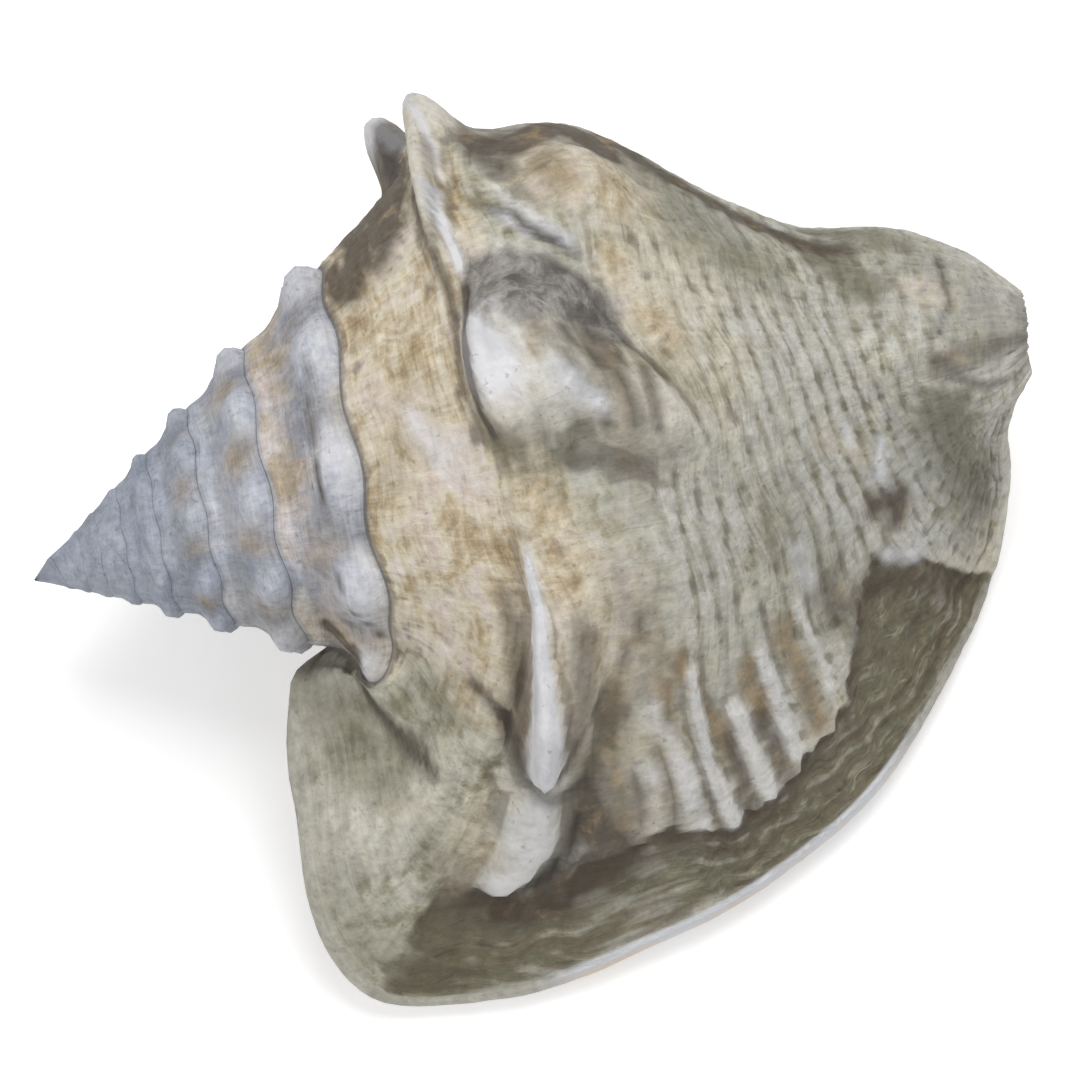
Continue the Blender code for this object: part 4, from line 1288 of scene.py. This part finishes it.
def floor_material(colour, glow):
    """A pale floor that shows the camera more light than it gives the shell, most of all far away."""
    finish, nodes, shader = new_material("pale_floor")
    place = nodes.add("ShaderNodeTexCoord", {}, {}, output="Object")
    away = nodes.add("ShaderNodeVectorMath", {"operation": "LENGTH"}, {0: place}, output="Value")
    shown = nodes.mix(away.between(*FLOOR_FADES), (glow,) * 3, (1.0,) * 3)
    seen = nodes.add("ShaderNodeLightPath", {}, {}, output="Is Camera Ray")
    nodes.feed(shader, {"Base Color": (*colour, 1.0), "Roughness": 0.9, "Emission Strength": 1.0,
                        "Emission Color": nodes.mix(seen, (0.0,) * 3, shown)})
    return finish


def backdrop_world(light, shown):
    """A soft even light, and behind the object a plain background that the camera and gloss see."""
    world = bpy.data.worlds.new("studio")
    world.use_nodes = True
    bpy.context.scene.world = world
    nodes = Nodes(world.node_tree)
    camera, gloss, through = (
        nodes.add("ShaderNodeLightPath", {}, {}, output=f"Is {kind} Ray")
        for kind in ("Camera", "Glossy", "Transmission")
    )
    colour = nodes.mix((camera + gloss + through).clipped(), (light,) * 3, (shown,) * 3)
    nodes.feed(world.node_tree.nodes["Background"], {"Color": colour})


def lay_on_box(points):
    """The shell's pose on the table, with its box on the CAD node's."""
    pose = Matrix.Rotation(math.radians(PITCH), 4, "Y") @ Matrix.Rotation(math.radians(ROLL), 4, "X")
    turned = points @ np.array(pose.to_3x3()).T
    low, high = turned.min(axis=0), turned.max(axis=0)
    cad_low, cad_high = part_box(NODE)
    middle = (cad_low + cad_high) / 2
    shift = Vector((cad_high.x - high[0], middle.y - (low[1] + high[1]) / 2, cad_low.z - low[2]))
    return Matrix.Translation(shift) @ pose


def colour_property(name, description, default):
    """A colour that the user can change."""
    return FloatVectorProperty(name=name, description=description, default=default, subtype="COLOR", size=3,
                               min=0.0, max=1.0)


def tone(red, green, blue):
    """A colour on the screen's scale of 255, as light."""
    return tuple(((c / 255 + 0.055) / 1.055) ** 2.4 for c in (red, green, blue))


class ShellSizes(bpy.types.PropertyGroup):
    """Sizes of the skin's fine relief."""

    cord_height: FloatProperty(name="Cord height", description="How far the strongest cords stand out",
                               default=0.00032, unit="LENGTH", precision=5)
    thread_height: FloatProperty(name="Thread height", description="Half the depth of the fine threads",
                                 default=0.00006, unit="LENGTH", precision=5)
    ripple_height: FloatProperty(name="Ripple height", description="How far the growth ripples stand out",
                                 default=0.00016, unit="LENGTH", precision=5)
    roughness: FloatProperty(name="Roughness", description="How uneven the worn surface is",
                             default=0.00014, unit="LENGTH", precision=5)
    ledge_height: FloatProperty(name="Ledge height", description="The drop where the ribbed layer ends",
                                default=0.0008, unit="LENGTH", precision=5)


class ShellColours(bpy.types.PropertyGroup):
    """Colours of the shell's layers and stains."""

    chalk: colour_property("Chalk", "Lavender-grey bloom on the cords", tone(192, 191, 186))
    moss: colour_property("Moss", "Olive hollows", tone(98, 96, 76))
    # Crevice is the painted shade in the creases and the shadows beside the knob and stub, and the sutures'
    # dark lines.
    crevice: colour_property("Crevice", "Deep in the creases", tone(52, 46, 42))
    bone: colour_property("Bone", "Worn ridges", tone(205, 202, 192))
    porcelain: colour_property("Porcelain", "Bare polished shell", tone(222, 222, 226))
    cream: colour_property("Cream", "Pale outer layer", tone(203, 193, 171))
    tan: colour_property("Tan", "Warm outer layer", tone(178, 160, 130))
    pink: colour_property("Pink", "Pale patches on the ramp", tone(206, 193, 184))
    peach: colour_property("Peach", "Deep in the mouth", tone(226, 206, 184))
    olive: colour_property("Olive", "Weathered body", tone(134, 129, 106))
    pale_cord: colour_property("Pale cord", "Backs of the cords", tone(184, 182, 166))
    rib: colour_property("Rib", "The bare ribs before the lip", tone(216, 214, 212))
    stain: colour_property("Stain", "Ochre stains", tone(146, 126, 92))
    furrow: colour_property("Furrow", "Between the cords", tone(106, 97, 76))
    # Umber is the margin's and the stains' own brown, and also the painted shade in the furrows and hollows
    # and the painted shadow just past the ledge.
    umber: colour_property("Umber", "Dirt in the furrows", tone(70, 60, 48))
    # This dark grey colours the grey patches and the spots between the spire's nodules, and is the painted
    # shade in the spire's hollows.
    soot_and_shade: colour_property("Soot", "Dark hollows", tone(84, 80, 78))
    dusty: colour_property("Dusty", "Matt grey patches", tone(142, 139, 134))
    slate: colour_property("Slate", "The spire's shade", tone(140, 148, 161))
    lavender: colour_property("Lavender", "The spire", tone(176, 180, 193))
    pale_lavender: colour_property("Pale lavender", "Worn spire and spines", tone(200, 201, 207))
    edge: colour_property("Edge", "The lip's broken edge", tone(226, 228, 235))


class StageSettings(bpy.types.PropertyGroup):
    """The stage's settings."""

    floor_colour: colour_property("Floor", "The floor's colour", (0.90, 0.90, 0.90))
    floor_glow: FloatProperty(name="Floor glow", description="How much brighter the floor shows",
                              default=0.32, min=0.0)
    world_light: FloatProperty(name="Fill", description="Strength of the even light", default=0.36,
                               min=0.0)
    lamp_power: FloatProperty(name="Lamp", description="Power of the main lamp", default=7.6, min=0.0,
                              unit="POWER")
    lens: FloatProperty(name="Lens", description="The camera's focal length", default=260.0,
                        subtype="DISTANCE_CAMERA")


class CONCH_OT_shell(bpy.types.Operator):
    """Grows the shell and gives it its weathered finish"""

    bl_idname = "conch.shell"
    bl_label = "Grow the shell"

    def execute(self, context):
        skin = shell_skin(context.scene.conch_sizes)
        points = np.array(skin.points) * MIRRORED
        mesh = bpy.data.meshes.new(PIECE)
        mesh.from_pydata(points.tolist(), [], skin.faces)
        for name, spots in (("OFBake", skin.chart), ("grown", skin.growth)):
            layer = mesh.uv_layers.new(name=name, do_init=False)
            layer.data.foreach_set("uv", np.concatenate(spots).astype(np.float32).ravel())
        mesh.shade_smooth()
        mesh.update()
        if len(mesh.vertices) != len(skin.points):
            raise RuntimeError("the skin has lost points")
        paint_masks(mesh, skin)
        mesh.materials.append(weathered_shell(context.scene.conch_colours))
        shell = bpy.data.objects.new(PIECE, mesh)
        context.scene.collection.objects.link(shell)
        shell.matrix_world = lay_on_box(points)
        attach(shell, "root")
        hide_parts(NODE)
        return {"FINISHED"}


class CONCH_OT_stage(bpy.types.Operator):
    """Makes the floor, the lights and the camera"""

    bl_idname = "conch.stage"
    bl_label = "Set the stage"

    def execute(self, context):
        settings = context.scene.conch_stage
        shell = bpy.data.objects.get(PIECE)
        if shell is None:
            raise RuntimeError("grow the shell before the stage")
        self.make_floor(settings)
        backdrop_world(settings.world_light, 1.0)
        camera = self.make_camera(settings, shell.matrix_world)
        self.make_lamps(settings, camera)
        context.scene.view_settings.view_transform = "Standard"
        return {"FINISHED"}

    def make_floor(self, settings):
        mesh = bpy.data.meshes.new("floor")
        corners = [(x * FLOOR_HALF, y * FLOOR_HALF, 0.0) for x, y in ((-1, -1), (1, -1), (1, 1), (-1, 1))]
        mesh.from_pydata(corners, [], [(0, 1, 2, 3)])
        mesh.materials.append(floor_material(settings.floor_colour, settings.floor_glow))
        floor = bpy.data.objects.new("floor", mesh)
        bpy.context.scene.collection.objects.link(floor)

    def make_camera(self, settings, lie):
        """The camera above the shell. lie is how the shell lies on the table."""
        turn = math.radians(VIEW_TURN)
        turned = lie.to_3x3()
        right = turned @ Vector((math.cos(turn), -math.sin(turn), 0.0))
        up = turned @ Vector((math.sin(turn), math.cos(turn), 0.0))
        back = turned @ Vector((0.0, 0.0, 1.0))
        data = bpy.data.cameras.new("camera")
        data.lens = settings.lens
        data.clip_end = VIEW_ENDS
        distance = VIEW_WIDTH * data.lens / data.sensor_width
        target = lie @ Vector((VIEW_MIDDLE[0], -VIEW_MIDDLE[1], 0.0))
        facing = Matrix((right, up, back)).transposed().to_4x4()
        camera = bpy.data.objects.new("camera", data)
        camera.matrix_world = Matrix.Translation(target + back * distance) @ facing
        bpy.context.scene.collection.objects.link(camera)
        bpy.context.scene.camera = camera
        return camera

    def make_lamps(self, settings, camera):
        turned = camera.matrix_world.to_3x3()
        for name, (direction, size, share) in LAMPS.items():
            data = bpy.data.lights.new(name, "AREA")
            data.size = size
            data.energy = settings.lamp_power * share
            towards = (turned @ Vector(direction)).normalized()
            place = Matrix.Translation(Vector(SHELL_MIDDLE) + towards * LAMP_DISTANCE)
            lamp = bpy.data.objects.new(name, data)
            lamp.matrix_world = place @ towards.to_track_quat("Z", "Y").to_matrix().to_4x4()
            bpy.context.scene.collection.objects.link(lamp)


class CONCH_PT_panel(bpy.types.Panel):
    """Lists what the add-on makes."""

    bl_idname = "CONCH_PT_panel"
    bl_label = "Conch shell"
    bl_space_type = "VIEW_3D"
    bl_region_type = "UI"
    bl_category = "Conch"

    def draw(self, context):
        layout = self.layout
        scene = context.scene
        for group in (scene.conch_sizes, scene.conch_colours, scene.conch_stage):
            box = layout.box()
            for name in group.__annotations__:
                box.prop(group, name)
        for operator in OPERATORS:
            layout.operator(operator.bl_idname)


OPERATORS = (CONCH_OT_shell, CONCH_OT_stage)
GROUPS = {"conch_sizes": ShellSizes, "conch_colours": ShellColours, "conch_stage": StageSettings}


def register():
    for group in GROUPS.values():
        bpy.utils.register_class(group)
    for operator in OPERATORS:
        bpy.utils.register_class(operator)
    bpy.utils.register_class(CONCH_PT_panel)
    for name, group in GROUPS.items():
        setattr(bpy.types.Scene, name, PointerProperty(type=group))


def unregister():
    for name in GROUPS:
        delattr(bpy.types.Scene, name)
    bpy.utils.unregister_class(CONCH_PT_panel)
    for operator in reversed(OPERATORS):
        bpy.utils.unregister_class(operator)
    for group in GROUPS.values():
        bpy.utils.unregister_class(group)


def main():
    """Makes the shell and its stage."""
    register()
    bpy.ops.conch.shell()
    bpy.ops.conch.stage()


if __name__ == "__main__":
    main()
